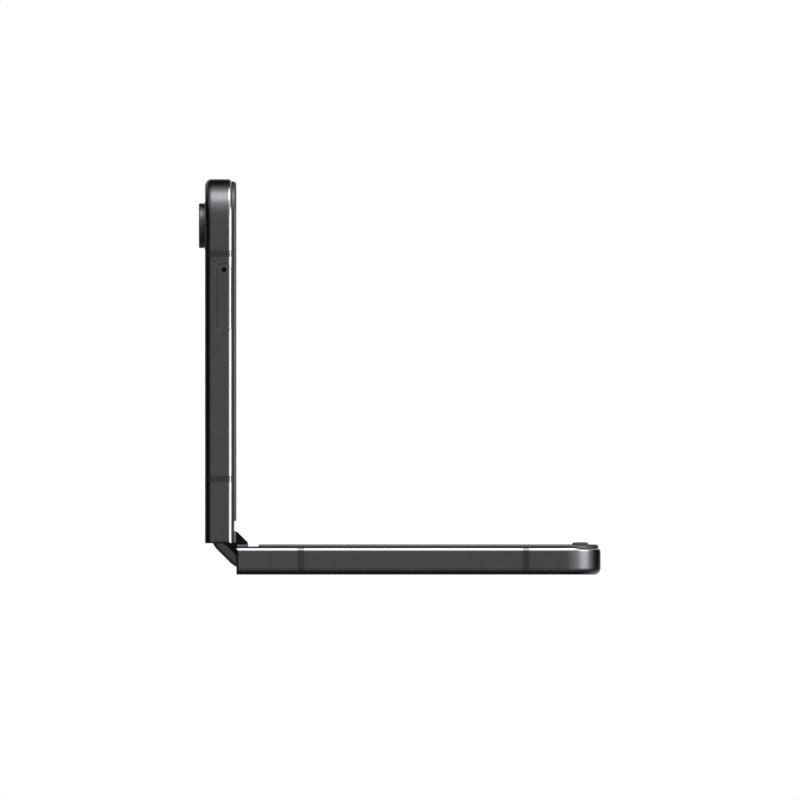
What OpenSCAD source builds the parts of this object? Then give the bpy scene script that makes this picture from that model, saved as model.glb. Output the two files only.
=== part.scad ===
// A folding phone, half open: the lower half lies on its back, the upper half stands up from it.
// Each half is drawn flat. There u runs from the hinge centre to the far end, v runs across
// the width, and w runs from the back glass to the screen. in_lower, in_spine and in_upper
// place these flat drawings. The origin is on the ground, under the middle of the whole phone.

/* [Halves] */
// Length of each metal frame, from its hinge end to its far end
half_l = 82.5; // [76:0.5:110]
// Width across the metal side rails
phone_w = 71.9; // [68:0.1:90]
// Height of the metal frame, from the back glass to the screen rim
frame_t = 6.1; // [5.9:0.1:7.5]
// Plan radius of the far corners
corner_r = 9; // [6:0.5:12]
// Rounding of the frame's edge at the back glass
back_round = 1.5; // [0.8:0.1:2]
// Rounding of the frame's edge at the screen
front_round = 0.8; // [0.4:0.1:1.2]
// Radius of the frames' upright edges beside the hinge
end_round = 0.5; // [0.2:0.05:0.5]
// Thickness of the side walls
wall_t = 1.1; // [1:0.05:1.4]
// Thickness of the back glass
glass_t = 0.6; // [0.4:0.05:0.7]
// Width of metal that shows round the back glass
glass_rim = 1.2; // [1:0.1:2]
// Width of the shelf that carries the mid plate
shelf_w = 1; // [0.6:0.1:1.2]

/* [Screen] */
// Thickness of the mid plate
mid_t = 0.6; // [0.4:0.05:0.8]
// Thickness of the steel plate under the screen
plate_t = 0.3; // [0.15:0.05:0.4]
// Thickness of the folding screen
panel_t = 0.5; // [0.3:0.05:0.6]
// Depth of the screen's underside below the frame's top
panel_sink = 0.2; // [0.1:0.05:0.3]
// Gap between the screen's long edges and the hinge's inner plates
screen_gap = 0.2; // [0.1:0.05:0.4]
// Distance from the hinge centre to where the screen starts to bend
bend_u = 6; // [5:0.5:8]
// Inner radius of the bend while the phone is half open
bend_r = 3.6; // [3:0.1:4]
// Height of the plastic rim on the lower half
lower_rim_h = 0.75; // [0.6:0.05:1.2]
// Height of the plastic rim on the upper half
upper_rim_h = 1; // [0.6:0.05:1.2]
// Width of bare metal outside the plastic rims
rim_inset = 0.5; // [0.4:0.05:0.9]
// Width of the rim's lip over the edge of the screen
lip_w = 1; // [0.5:0.1:2]
// Length of the rubber pads on the lower rim
pad_l = 4.8; // [2:0.1:6]
// Width of the rubber pads
pad_w = 1.3; // [0.8:0.1:1.6]
// Height of the rubber pads above the rim
pad_h = 0.5; // [0.3:0.05:0.7]

/* [Hinge] */
// Distance between the two pivots
pivot_gap = 4.1; // [4:0.05:4.4]
// Depth of the pivots below the frame's top
pivot_drop = 0.1; // [0.05:0.05:0.2]
// Distance from the hinge centre to each frame's hinge end, when flat
end_gap = 0.25; // [0.2:0.05:0.4]
// Radius of the spine's rounded sides about the pivots
spine_r = 4.6; // [4.2:0.05:4.7]
// Wall of the spine's cover
spine_wall = 0.8; // [0.5:0.05:0.9]
// Running gap between the spine and the frames
run_gap = 0.2; // [0.15:0.05:0.3]
// Gap between the spine's ends and the side walls
side_gap = 0.15; // [0.1:0.05:0.3]
// Thickness of the metal round each bay
bay_wall = 0.7; // [0.5:0.05:1]
// Thickness of the spine's end plates
end_plate_t = 0.6; // [0.5:0.05:0.8]
// Thickness of the spine's inner plates
inner_plate_t = 0.5; // [0.4:0.05:0.7]
// Thickness of the hinge arms and gears
arm_t = 0.8; // [0.6:0.05:1]
// Gap between the arms and the plates on each side
layer_gap = 0.1; // [0.05:0.01:0.15]
// Pitch radius of the four hinge gears
gear_r = 1; // [0.95:0.01:1.03]
// Teeth of each hinge gear
gear_teeth = 12; // [10:1:14]
// Radius of the pivot pins
pivot_pin_r = 0.4; // [0.3:0.02:0.45]
// Radius of the idler gears' pins
idler_pin_r = 0.35; // [0.25:0.02:0.4]
// Running gap round the pins
pin_gap = 0.03; // [0.02:0.01:0.05]
// Width of the black caps that fill the inner corner
cap_w = 3.3; // [2.8:0.1:3.4]
// Height of the caps above the pivots
cap_h = 1.5; // [1.4:0.05:1.6]
// Thickness of the caps' roofs
roof_t = 0.3; // [0.2:0.02:0.32]
// Width of the ribbon cables that cross the hinge
ribbon_w = 9.6; // [6:0.1:12]
// Distance of the ribbon cables from the middle
ribbon_v = 13; // [10:0.5:18]

/* [Cameras] */
// Outer diameter of the camera rings
ring_d = 10.15; // [8:0.05:12]
// Height of the camera rings above the back
ring_h = 1.4; // [0.8:0.1:2]
// Distance from the far end to the camera rings' centres
ring_end = 10.56; // [9.5:0.01:14]
// Distance from the side to the outer camera ring's centre
ring_side = 10.9; // [9:0.1:14]
// Distance between the two camera rings
ring_gap = 13.2; // [12.2:0.1:15]
// Diameter of the hole in the screen for the front camera
eye_d = 3.6; // [2.6:0.1:4.2]
// Distance from the far end to the front camera
eye_end = 7.2; // [7:0.1:9]

/* [Keys and tray] */
// Length of the power key
power_l = 13; // [8:0.5:15]
// Distance from the far end to the middle of the power key
power_end = 47; // [46:0.5:52]
// Length of the volume key
volume_l = 18; // [12:0.5:20]
// Distance from the far end to the middle of the volume key
volume_end = 28; // [26:0.5:29]
// Height of both keys across the frame's thickness
key_h = 2.4; // [1.8:0.1:2.6]
// How far the keys stand out of the side
key_out = 0.35; // [0.2:0.05:0.5]
// Gap round the keys and the tray
key_gap = 0.1; // [0.08:0.01:0.15]
// Gap between the keys' studs and their switches
key_travel = 0.25; // [0.2:0.01:0.3]
// Length of the tray's face
tray_l = 15.9; // [15:0.1:18]
// Height of the tray's face
tray_h = 3; // [2.6:0.1:3]
// Distance from the far end to the middle of the tray
tray_end = 26.95; // [25:0.05:30]
// Depth of the tray from its face
tray_depth = 13.5; // [12:0.5:15]
// Diameter of the tray's pin hole
pin_hole_d = 1.1; // [0.7:0.02:1.2]

/* [Port and bands] */
// Width of the charging port's mouth
port_w = 8.4; // [7:0.1:9]
// Height of the charging port's mouth
port_h = 2.6; // [2.2:0.1:2.6]
// Depth of the charging port
port_depth = 7.2; // [6:0.1:8]
// Sheet thickness of the charging port
port_wall = 0.3; // [0.2:0.05:0.35]
// Diameter of the loudspeaker holes
grille_d = 1.1; // [0.8:0.1:1.4]
// Loudspeaker holes in the row
grille_n = 6; // [3:1:6]
// Width of the antenna bands
band_w = 1.5; // [0.8:0.1:2]
// Depth of the antenna bands into the walls
band_t = 0.5; // [0.3:0.05:0.7]
// Distance from the far end to the outer antenna band
band_far = 16.9; // [15.5:0.1:17.5]
// Distance from the hinge end to the inner antenna band
band_near = 14.6; // [14.2:0.1:18]

/* [Inside] */
// Length of the lower board, from the far end
lower_board_l = 22.75; // [21:0.25:26]
// Length of the main board, from the far end
main_board_l = 36; // [35:0.5:40]
// Gap between the batteries and the boards
cell_gap = 2.5; // [1:0.5:6]
// Width of the batteries
cell_w = 50; // [40:0.5:52]
// Thickness of the batteries
cell_t = 3.3; // [2.5:0.1:3.4]
// Thickness of the circuit boards
board_t = 0.6; // [0.4:0.05:0.8]
// Outer diameter of the charging coil
coil_d = 36; // [30:0.5:40]
// Inner diameter of the charging coil
coil_hole_d = 16; // [12:0.5:20]
// Radius of the small screws
screw_r = 0.5; // [0.4:0.05:0.6]

/* [Hidden] */
$fn = 48;

// The phone stands half open, so each half is turned by half of the missing angle.
open_angle = 90;
q = (180 - open_angle) / 2;
fit = 0.05;
eps = 0.01;

// Heights in a half, from the back glass up
plate_top = frame_t - panel_sink;
mid_top = plate_top - plate_t;
mid_bot = mid_top - mid_t;
panel_top = plate_top + panel_t;
floor_top = 2 * glass_t;
glass_u0 = end_gap + 0.75;
window_u0 = 8;
window_inset = glass_rim + 1.5;
window_t = 0.4;
shelf_t = 0.4;

// Lengths and widths
far_u = end_gap + half_l;
half_w = phone_w / 2;
bay_v = half_w - wall_t;
spine_v = bay_v - side_gap;
end_v = spine_v - end_plate_t;
arm_v1 = end_v - layer_gap;
arm_v0 = arm_v1 - arm_t;
inner_v1 = arm_v0 - layer_gap;
inner_v0 = inner_v1 - inner_plate_t;
screen_v = inner_v0 - screen_gap;
screen_inset = half_w - screen_v;

// Hinge
a = pivot_gap / 2;
pivot_w = frame_t - pivot_drop;
bay_r = spine_r + run_gap;
bay_out_r = bay_r + bay_wall;
spine_in_r = spine_r - spine_wall;
gear_module = 2 * gear_r / gear_teeth;
idler_drop = sqrt(4 * gear_r * gear_r - (a - gear_r) * (a - gear_r));
cover_top = 1.35;
base_top = 2.1;
lip_top = 2.35;
arm_w0 = pivot_w - 0.7;
arm_u1 = bay_out_r + a + 5.4;
seat_u0 = a + bay_r + 0.4;
seat_v = arm_v0 - 0.15;
seat_t = 1.1;
head_r = 1.4 * screw_r;
head_t = 0.2;
head_w0 = frame_t - 0.1 - head_t;
foot_w0 = arm_w0 - seat_t + 0.2;
arm_screw_u = arm_u1 - 1.6;
arm_screw_v = (seat_v + bay_v) / 2;
bite = 1.2;
board_head_t = 0.4;
wing_u = end_gap + 0.15;
rim_u0 = a + 1.85;
rim_step_u = 5.25;
rim_tab_u = 3;
rim_step = 0.45;
ribbon_t = 0.15;

// The whole phone's middle, for the origin
left_u = a - 2 * a * cos(q) - pivot_w - ring_h;
mid_x = (far_u + left_u) / 2;
mid_y = key_out / 2;

// Colours
metal = [0.27, 0.275, 0.285];
black = [0.03, 0.03, 0.035];
steel = [0.62, 0.63, 0.65];
brass = [0.78, 0.62, 0.35];
green = [0.06, 0.2, 0.13];
foil = [0.16, 0.16, 0.18];

// Placing: flat drawings to the phone
module in_lower() {
  translate([-mid_x, -mid_y, 0]) children();
}

module in_spine() {
  translate([a - mid_x, -mid_y, pivot_w]) rotate([0, q, 0]) translate([-a, 0, 0]) children();
}

module in_upper() {
  in_spine() translate([-a, 0, 0]) rotate([0, q, 0]) mirror([1, 0, 0])
    translate([-a, 0, -pivot_w]) children();
}

// A section in the plane across the hinge, carried along v from v0 to v1
module along_v(v0, v1) {
  translate([0, v1, 0]) rotate([90, 0, 0]) linear_extrude(v1 - v0) children();
}

module both_sides() {
  children();
  mirror([0, 1, 0]) children();
}

// A box from one corner to the other
module block(low, high) {
  translate(low) cube(high - low);
}

// A bar with round ends, l long and h high, flat in its own plane
module slot_2d(l, h) {
  square([l - h, h], center = true);
  for (s = [-1, 1]) translate([s * (l - h) / 2, 0]) circle(h / 2);
}

// Plan of a half, drawn in by inset on its rounded sides, from u0 to its far end
module plan_2d(inset, u0) {
  r = corner_r - inset;
  hw = half_w - inset;
  fu = far_u - inset;
  translate([u0, -hw]) square([fu - r - u0, 2 * hw]);
  translate([u0, r - hw]) square([fu - u0, 2 * (hw - r)]);
  for (s = [-1, 1]) translate([fu - r, s * (hw - r)]) circle(r);
}

module plan(inset, u0, w0, w1) {
  translate([0, 0, w0]) linear_extrude(w1 - w0) plan_2d(inset, u0);
}

// Section of a half's edge: reach outwards from the corner's centre, height w
module edge_2d(inset) {
  reach = corner_r - inset;
  rb = back_round - inset;
  rf = max(front_round - inset, 0.1);
  top = frame_t - inset;
  translate([0, inset]) square([reach - rb, top - inset]);
  translate([0, inset + rb]) square([reach, top - rf - rb - inset]);
  translate([0, inset + rb]) square([reach - rf, top - rb - inset]);
  translate([reach - rb, inset + rb]) circle(rb);
  translate([reach - rf, top - rf]) circle(rf);
}

// A half as one solid with its rounded edges, drawn in by inset
module slab(inset = 0) {
  uc = far_u - corner_r;
  vc = half_w - corner_r;
  translate([end_gap, 0, 0]) rotate([90, 0, 90]) linear_extrude(uc - end_gap) {
    translate([-vc, inset]) square([2 * vc, frame_t - 2 * inset]);
    translate([vc, 0]) edge_2d(inset);
    mirror([1, 0]) translate([vc, 0]) edge_2d(inset);
  }
  translate([uc, vc, 0]) rotate([90, 0, 0]) linear_extrude(2 * vc) edge_2d(inset);
  translate([uc, vc, 0]) rotate_extrude(angle = 90) edge_2d(inset);
  translate([uc, -vc, 0]) rotate([0, 0, -90]) rotate_extrude(angle = 90) edge_2d(inset);
}

// The slices of a half's skin that the antenna bands fill
module band_slices() {
  for (u = [end_gap + band_near, far_u - band_far])
    both_sides() block([u - band_w / 2, half_w - 3, -1], [u + band_w / 2, half_w + 1, frame_t + 1]);
}

module antenna_bands() {
  difference() {
    intersection() {
      slab();
      band_slices();
    }
    slab(band_t);
    plan(glass_rim, 0, -1, glass_t);
    plan(wall_t, 0, floor_top, frame_t + 1);
  }
}

// A cylinder along v about the pivot of a flat half
module about_pivot(r, v) {
  translate([a, 0, pivot_w]) rotate([90, 0, 0]) cylinder(r = r, h = 2 * v, center = true);
}

// A metal frame: rails, far end, floor under the hinge bay, bay wall, shelf and arm seats
module frame_shell() {
  difference() {
    union() {
      frame_rails();
      both_sides() block([seat_u0, seat_v, arm_w0 - seat_t], [arm_u1, bay_v + eps, arm_w0]);
    }
    both_sides() translate([arm_screw_u, arm_screw_v, foot_w0 - 0.1]) cylinder(r = screw_r, h = seat_t);
    both_sides() end_corner();
  }
}

// What the rounded upright edge beside the hinge takes off a frame
module end_corner() {
  translate([end_gap, half_w - end_round, -1]) linear_extrude(frame_t + 2) difference() {
    translate([-1, 0]) square([end_round + 1, end_round + 1]);
    translate([end_round, 0]) circle(end_round);
  }
}

module frame_rails() {
  difference() {
    slab();
    difference() {
      band_slices();
      slab(band_t);
    }
    plan(glass_rim, glass_u0, -1, glass_t);
    plan(window_inset, window_u0, glass_t - eps, floor_top + eps);
    pocket(wall_t, floor_top, mid_bot - shelf_t);
    pocket(wall_t + shelf_w, mid_bot - shelf_t - eps, mid_bot + eps);
    plan(wall_t, 0, mid_bot, frame_t + 1);
    about_pivot(bay_r, bay_v);
    block([0, -bay_v, pivot_w - bay_r], [a, bay_v, frame_t]);
    both_sides() block([0, ribbon_v - ribbon_w / 2 - 0.5, mid_bot - 0.35],
                       [seat_u0 + 2, ribbon_v + ribbon_w / 2 + 0.5, mid_bot + 1]);
  }
}

// Room inside a frame, from the bay wall to the far end
module pocket(inset, w0, w1) {
  difference() {
    plan(inset, 0, w0, w1);
    about_pivot(bay_out_r, half_w);
  }
}

// Mid plate with notches for the arm seats and the ribbon cables, and board bosses
module mid_plate(boss_at, board_top) {
  difference() {
    union() {
      plan(wall_t + fit, seat_u0, mid_bot, mid_top);
      for (p = boss_at)
        translate([p[0], p[1], board_top]) cylinder(r = 3 * screw_r, h = mid_bot - board_top + eps);
    }
    both_sides() block([0, seat_v - fit, 0], [arm_u1 + fit, half_w, frame_t]);
    for (p = boss_at)
      translate([p[0], p[1], board_top - 1]) cylinder(r = screw_r, h = mid_bot - board_top + 1.2);
  }
}

// Screws that hold a board to the mid plate from behind
module board_screws(screw_at, board_bot) {
  for (p = screw_at) translate([p[0], p[1], board_bot]) {
    cylinder(r = screw_r, h = board_t + bite);
    translate([0, 0, -board_head_t]) cylinder(r = 2 * screw_r, h = board_head_t);
  }
}

// Flat screws that hold the hinge arms to their seats
module arm_screws() {
  both_sides() translate([arm_screw_u, arm_screw_v, 0]) {
    translate([0, 0, foot_w0]) cylinder(r = screw_r, h = head_w0 - foot_w0);
    translate([0, 0, head_w0]) cylinder(r = head_r, h = head_t);
  }
}

module display_plate(eye_hole) {
  difference() {
    plan(screen_inset, wing_u, mid_top, plate_top);
    if (eye_hole) eye_bore();
  }
}

module display_panel(eye_hole) {
  difference() {
    plan(screen_inset, bend_u, plate_top, panel_top);
    if (eye_hole) eye_bore();
  }
}

// The bore for the front camera
module eye_bore() {
  translate([far_u - eye_end, 0, 0]) cylinder(d = eye_d, h = frame_t + 2);
}

// Plastic rim over the screen's edge. It has a shallow notch beside the hinge.
module bezel(h) {
  difference() {
    plan(rim_inset, end_gap + 0.2, frame_t, frame_t + h);
    plan(screen_inset - fit, 0, frame_t - 1, panel_top + fit);
    plan(screen_inset + lip_w, 0, frame_t - 1, frame_t + h + 1);
    block([0, -bay_v - fit, frame_t - 1], [rim_u0, bay_v + fit, frame_t + h + 1]);
    block([rim_tab_u, -half_w, frame_t + h - rim_step], [rim_step_u, half_w, frame_t + h + 1]);
    block([0, -screen_v - fit, frame_t - 1], [rim_step_u, screen_v + fit, frame_t + h + 1]);
  }
}

// Hinge

// Rounded section of the spine, radius r about both pivots
module spine_2d(r) {
  for (s = [-1, 1]) translate([s * a, 0]) circle(r);
  translate([-a, -r]) square([2 * a, 2 * r]);
}

module below_2d(level) {
  translate([-20, -20 - level]) square([40, 20]);
}

module spine_cover() {
  color(metal) in_spine() difference() {
    union() {
      along_v(-spine_v, spine_v) intersection() {
        difference() {
          spine_2d(spine_r);
          spine_2d(spine_in_r);
        }
        below_2d(cover_top);
      }
      both_sides() along_v(end_v, spine_v) intersection() {
        spine_2d(spine_r);
        below_2d(lip_top);
      }
    }
    spine_screw_bores(screw_r, -spine_in_r - 0.45);
  }
}

// Outline of the plates that carry the pins, with its top at height top
module plate_2d(top) {
  half = cap_w / 2;
  polygon([
    [-half, top], [half, top], [a + 0.8, 0.3], [a + 1.5, -cover_top],
    [-a - 1.5, -cover_top], [-a - 0.8, 0.3]
  ]);
  intersection() {
    spine_2d(spine_in_r - fit);
    below_2d(cover_top - 0.1);
  }
}

module spine_screw_places() {
  for (v = [-inner_v0 + 7, -4, 4, inner_v0 - 7]) translate([0, v, 0]) children();
}

module spine_screw_bores(r, low) {
  spine_screw_places() translate([0, 0, low]) cylinder(r = r, h = -low);
}

module hinge_base() {
  color(steel) in_spine() difference() {
    union() {
      along_v(-inner_v0 - eps, inner_v0 + eps) intersection() {
        spine_2d(spine_in_r - fit);
        below_2d(base_top);
      }
      both_sides() along_v(inner_v0, inner_v1) plate_2d(cap_h - roof_t);
    }
    spine_screw_bores(screw_r + fit, -spine_r);
    spine_screw_bores(2 * screw_r + fit, -base_top - 0.45);
    pin_holes();
  }
}

// The pins' places on both ends of the spine
module pivot_places() {
  for (s = [-1, 1]) translate([s * a, 0, 0]) children();
}

module idler_places() {
  for (s = [-1, 1]) translate([s * gear_r, 0, -idler_drop]) children();
}

module pin_at_ends(r) {
  both_sides() along_v(inner_v0, end_v + 0.4) circle(r);
}

module pin_holes() {
  pivot_places() pin_at_ends(pivot_pin_r);
  idler_places() pin_at_ends(idler_pin_r);
}

module pivot_pins() {
  color(steel) in_spine() pivot_places() pin_at_ends(pivot_pin_r);
}

module idler_pins() {
  color(steel) in_spine() idler_places() pin_at_ends(idler_pin_r);
}

module spine_caps() {
  color(black) in_spine() difference() {
    both_sides() {
      along_v(end_v, spine_v) difference() {
        plate_2d(cap_h);
        below_2d(lip_top);
      }
      along_v(inner_v0, end_v + eps) translate([-cap_w / 2, cap_h - roof_t]) square([cap_w, roof_t]);
    }
    pin_holes();
  }
}

module spine_screws() {
  color(steel) in_spine() spine_screw_places() {
    translate([0, 0, -spine_in_r - 0.4]) cylinder(r = screw_r, h = spine_in_r + 0.3 - base_top);
    translate([0, 0, -base_top - 0.45]) cylinder(r = 2 * screw_r, h = 0.35);
  }
}

// Gear angles. A tooth of one gear always meets a gap of the next.
tooth_step = 360 / gear_teeth;
mesh_angle = atan2(-idler_drop, gear_r - a);
function meshed(phase, dir) = 2 * dir + 360 - phase + tooth_step / 2;
lower_idler_phase = meshed(mesh_angle, mesh_angle);
upper_idler_phase = meshed(lower_idler_phase, 180);
upper_gear_phase = meshed(upper_idler_phase, -mesh_angle);
function turned(x) = ((x + 180) % 360 + 360) % 360 - 180;

// A gear's section. Only the teeth within half a span of the angle mid are there.
module gear_2d(phase, mid = 0, span = 361) {
  pitch = PI * gear_module;
  low = gear_r - 1.1 * gear_module;
  high = gear_r + 0.8 * gear_module;
  circle(low);
  for (k = [0 : gear_teeth - 1])
    if (abs(turned(phase + k * tooth_step - mid)) <= span / 2)
      rotate(phase + k * tooth_step)
        polygon([
          [low - 0.1, -0.31 * pitch], [high, -0.11 * pitch],
          [high, 0.11 * pitch], [low - 0.1, 0.31 * pitch]
        ]);
}

module lower_idler_gears() {
  color(brass) in_spine() both_sides() translate([gear_r, 0, -idler_drop]) along_v(arm_v0, arm_v1)
    idler_2d(lower_idler_phase);
}

module upper_idler_gears() {
  color(brass) in_spine() both_sides() translate([-gear_r, 0, -idler_drop]) along_v(arm_v0, arm_v1)
    idler_2d(upper_idler_phase);
}

module idler_2d(phase) {
  difference() {
    gear_2d(phase);
    circle(idler_pin_r + pin_gap);
  }
}

// A hinge arm on one side: gear, bar and screwed foot, about a pivot at the origin
module hinge_arm(phase, mid) {
  difference() {
    union() {
      along_v(arm_v0, arm_v1) {
        gear_2d(phase, mid, 165);
        rotate(q) translate([0, arm_w0 - pivot_w]) square([arm_u1 - a, frame_t - arm_w0]);
      }
      rotate([0, -q, 0]) translate([-a, 0, -pivot_w])
        block([seat_u0, seat_v, arm_w0], [arm_u1, bay_v - fit, frame_t]);
    }
    along_v(0, half_w) circle(pivot_pin_r + pin_gap);
    rotate([0, -q, 0]) translate([arm_screw_u - a, arm_screw_v, -pivot_w]) {
      cylinder(r = screw_r, h = frame_t + 1);
      translate([0, 0, head_w0]) cylinder(r = head_r, h = 1);
    }
  }
}

module lower_hinge_arms() {
  color(steel) in_spine() both_sides() translate([a, 0, 0]) hinge_arm(mesh_angle, mesh_angle);
}

module upper_hinge_arms() {
  color(steel) in_spine() both_sides() translate([-a, 0, 0]) mirror([1, 0, 0])
    hinge_arm(180 - upper_gear_phase, mesh_angle);
}

// One face of a sheet that bends over the hinge at rest. In the flat halves the face lies at
// height c from the pivots. It bends with radius r about a middle at height zc, out to u1.
function bent_face(c, r, zc, u1) = let (
  end = [a + (u1 - a) * cos(q) - c * sin(q), (u1 - a) * sin(q) + c * cos(q)],
  arc = [for (k = [-12 : 12]) [r * sin(k * q / 12), zc - r * cos(k * q / 12)]]
) concat([[-end[0], end[1]]], arc, [end]);

function reversed(list) = [for (k = [len(list) - 1 : -1 : 0]) list[k]];

// A sheet of thickness t, its upper face at height w in the flat halves, bent with radius r
module bent_2d(w, t, r, u1) {
  c = w - pivot_w;
  zc = (c - a * sin(q) + r) / cos(q);
  polygon(concat(bent_face(c, r, zc, u1), reversed(bent_face(c - t, r + t, zc, u1))));
}

module display_fold() {
  color(black) in_spine() along_v(-screen_v, screen_v) bent_2d(panel_top, panel_t, bend_r, bend_u);
}

module ribbon_cables() {
  color(brass) in_spine() both_sides() along_v(ribbon_v - ribbon_w / 2, ribbon_v + ribbon_w / 2)
    bent_2d(mid_bot, ribbon_t, bend_r + 0.3, arm_u1 - 2);
}

// Lower half

lower_board_w0 = frame_t / 2 - 0.05;
lower_board_u0 = far_u - lower_board_l;
boss_v = half_w - 4.45;
lower_bosses = [for (p = [[0.18, boss_v], [0.18, -boss_v], [0.44, -half_w / 18]])
  [lower_board_u0 + p[0] * lower_board_l, p[1]]];
cell_u0 = arm_u1 + 0.5;
cell_w0 = floor_top + fit;
port_w0 = frame_t / 2;
wall_u = far_u - wall_t;
grille_step = grille_d + 1.1;
grille_v0 = half_w / 3;
speaker_v0 = grille_v0 - 2;
speaker_v1 = grille_v0 + (grille_n - 1) * grille_step + 3.5;
motor_v = half_w / 3;
motor_l = 0.44 * lower_board_l;
under_u = lower_board_u0 + 0.09 * lower_board_l;
mic_d = 0.8;
tongue_t = 0.7;

module lower_frame() {
  color(metal) in_lower() difference() {
    frame_shell();
    translate([wall_u - 1, 0, port_w0]) rotate([90, 0, 90]) linear_extrude(wall_t + 2)
      slot_2d(port_w + 2 * port_wall + 2 * fit, port_h + 2 * port_wall + 2 * fit);
    for (k = [0 : grille_n - 1]) translate([wall_u - 1, grille_v0 + k * grille_step, port_w0])
      rotate([0, 90, 0]) cylinder(d = grille_d, h = wall_t + 2);
    translate([wall_u - 1, -grille_v0, port_w0]) rotate([0, 90, 0]) cylinder(d = mic_d, h = wall_t + 2);
  }
}

module lower_back_glass() {
  color(black) in_lower() plan(glass_rim + fit, glass_u0 + fit, 0, glass_t);
}

module lower_mid_plate() {
  color(steel) in_lower() mid_plate(lower_bosses, lower_board_w0 + board_t);
}

module lower_display_plate() {
  color(steel) in_lower() display_plate(false);
}

module lower_display_panel() {
  color(black) in_lower() display_panel(false);
}

module lower_bezel() {
  color(black) in_lower() bezel(lower_rim_h);
}

// The pads follow the middle of the rim round its far corners
module bumper_pads() {
  r = corner_r - (rim_inset + screen_inset + lip_w) / 2;
  turn = pad_l / r * 180 / PI;
  color([0.05, 0.05, 0.05]) in_lower() both_sides()
    translate([far_u - corner_r, half_w - corner_r, frame_t + lower_rim_h]) rotate([0, 0, 45 - turn / 2])
      rotate_extrude(angle = turn) translate([r - pad_w / 2, 0]) square([pad_w, pad_h]);
}

module lower_antenna_bands() {
  color([0.2, 0.2, 0.21]) in_lower() antenna_bands();
}

module lower_battery() {
  color(foil) in_lower()
    block([cell_u0, -cell_w / 2, cell_w0], [lower_board_u0 - cell_gap, cell_w / 2, cell_w0 + cell_t]);
}

// Holes in a board for the screws
module board_holes(at) {
  for (p = at) translate([p[0], p[1], 0]) cylinder(r = screw_r + 0.1, h = frame_t);
}

// A part on the lower board. Each corner has its share of the board's length and its place across.
module board_part(p, q, w0, w1) {
  block([lower_board_u0 + p[0] * lower_board_l, p[1], w0], [lower_board_u0 + q[0] * lower_board_l, q[1], w1]);
}

module lower_board() {
  w0 = lower_board_w0;
  w1 = w0 + board_t;
  color(green) in_lower() difference() {
    union() {
      plan(wall_t + 1.9, lower_board_u0, w0, w1);
      board_part([0.04, half_w / 6], [0.26, half_w * 0.4], w1 - eps, w1 + 1.5 * board_t);
      board_part([0.04, -half_w * 0.45], [0.22, -half_w / 6], w1 - eps, w1 + 1.2 * board_t);
      board_part([0.4, half_w * 0.4], [0.57, half_w * 0.56], w1 - eps, w1 + board_t);
    }
    block([far_u - port_depth - 0.3, -port_w / 2 - 0.5, 0], [far_u, port_w / 2 + 0.5, frame_t]);
    board_holes(lower_bosses);
  }
}

module charging_port() {
  outer_w = port_w + 2 * port_wall;
  outer_h = port_h + 2 * port_wall;
  color(steel) in_lower() translate([far_u - port_depth, 0, port_w0]) rotate([90, 0, 90]) {
    difference() {
      linear_extrude(port_depth - 0.3) slot_2d(outer_w, outer_h);
      translate([0, 0, port_wall]) linear_extrude(port_depth) slot_2d(port_w, port_h);
    }
    linear_extrude(port_depth - 1.6) square([port_w - 1.7, tongue_t], center = true);
  }
}

module loudspeaker() {
  u1 = wall_u - 1.65;
  color(black) in_lower() {
    block([under_u, speaker_v0, glass_t + fit], [u1, speaker_v1, lower_board_w0 - fit]);
    block([u1 - eps, speaker_v0, floor_top + fit], [wall_u - fit, speaker_v1, mid_bot - shelf_t - fit]);
  }
}

module vibration_motor() {
  color(steel) in_lower()
    block([under_u, -2.4 * motor_v, glass_t + fit], [under_u + motor_l, -motor_v, lower_board_w0 - fit]);
}

module charging_coil() {
  color(brass) in_lower() translate([(cell_u0 + lower_board_u0) / 2, 0, glass_t]) difference() {
    cylinder(d = coil_d, h = 0.5);
    translate([0, 0, -1]) cylinder(d = coil_hole_d, h = 3);
  }
}

module lower_screws() {
  color(steel) in_lower() {
    board_screws(lower_bosses, lower_board_w0);
    arm_screws();
  }
}

// Upper half

board_w0 = 2.2;
board_w1 = board_w0 + board_t;
board_u0 = far_u - main_board_l;
ring_u = far_u - ring_end;
ring_v = half_w - ring_side;
ring_vs = [ring_v, ring_v - ring_gap];
lens_w = -0.7;
lens_t = 0.45;
flash_v = ring_v - ring_gap - 9.5;
flash_r = 2.2;
tray_u = far_u - tray_end;
tray_w = frame_t - tray_h / 2 - 0.3;
power_u = far_u - power_end;
volume_u = far_u - volume_end;
key_w = 2.9;
upper_bosses = [
  [tray_u + tray_l / 2 + 5.2, -half_w * 0.78],
  [far_u - 4.25, -half_w / 2],
  [far_u - main_board_l / 2, half_w - 4.95]
];
shield_h = mid_bot - board_w1 - 0.6;
chips_u1 = board_u0 + 0.45 * main_board_l;
chip_v = 0.42 * half_w;
module_half = 4.5;
module_fit = 0.3;
bracket_t = 0.4;
bracket_v0 = bay_v - 2.15;
switch_v0 = bracket_v0 + bracket_t;
switch_v1 = switch_v0 + 0.65;
flange_t = 0.4;
power_flange_v = bay_v - 0.55;
volume_flange_v = bay_v - 0.75;
volume_stud = volume_l / 3;
rib_v = volume_flange_v + 0.2;
rib_r = 0.4;
tray_low_u = tray_u - 7.2;
tray_high_u = tray_u + 5.7;
tray_w0 = board_w1 + 0.5;
tray_w1 = tray_w0 + 0.9;
tray_v1 = -half_w + tray_depth;
socket_v1 = -bay_v + tray_depth;

// A key's outline through the side wall, l long and h high
module key_bar(u, l, h, v0, v1) {
  translate([u, 0, key_w]) along_v(v0, v1) slot_2d(l, h);
}

module tray_face(grow) {
  translate([tray_u, 0, tray_w]) along_v(-half_w - 1, -bay_v + eps) slot_2d(tray_l + grow, tray_h + grow);
}

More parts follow.
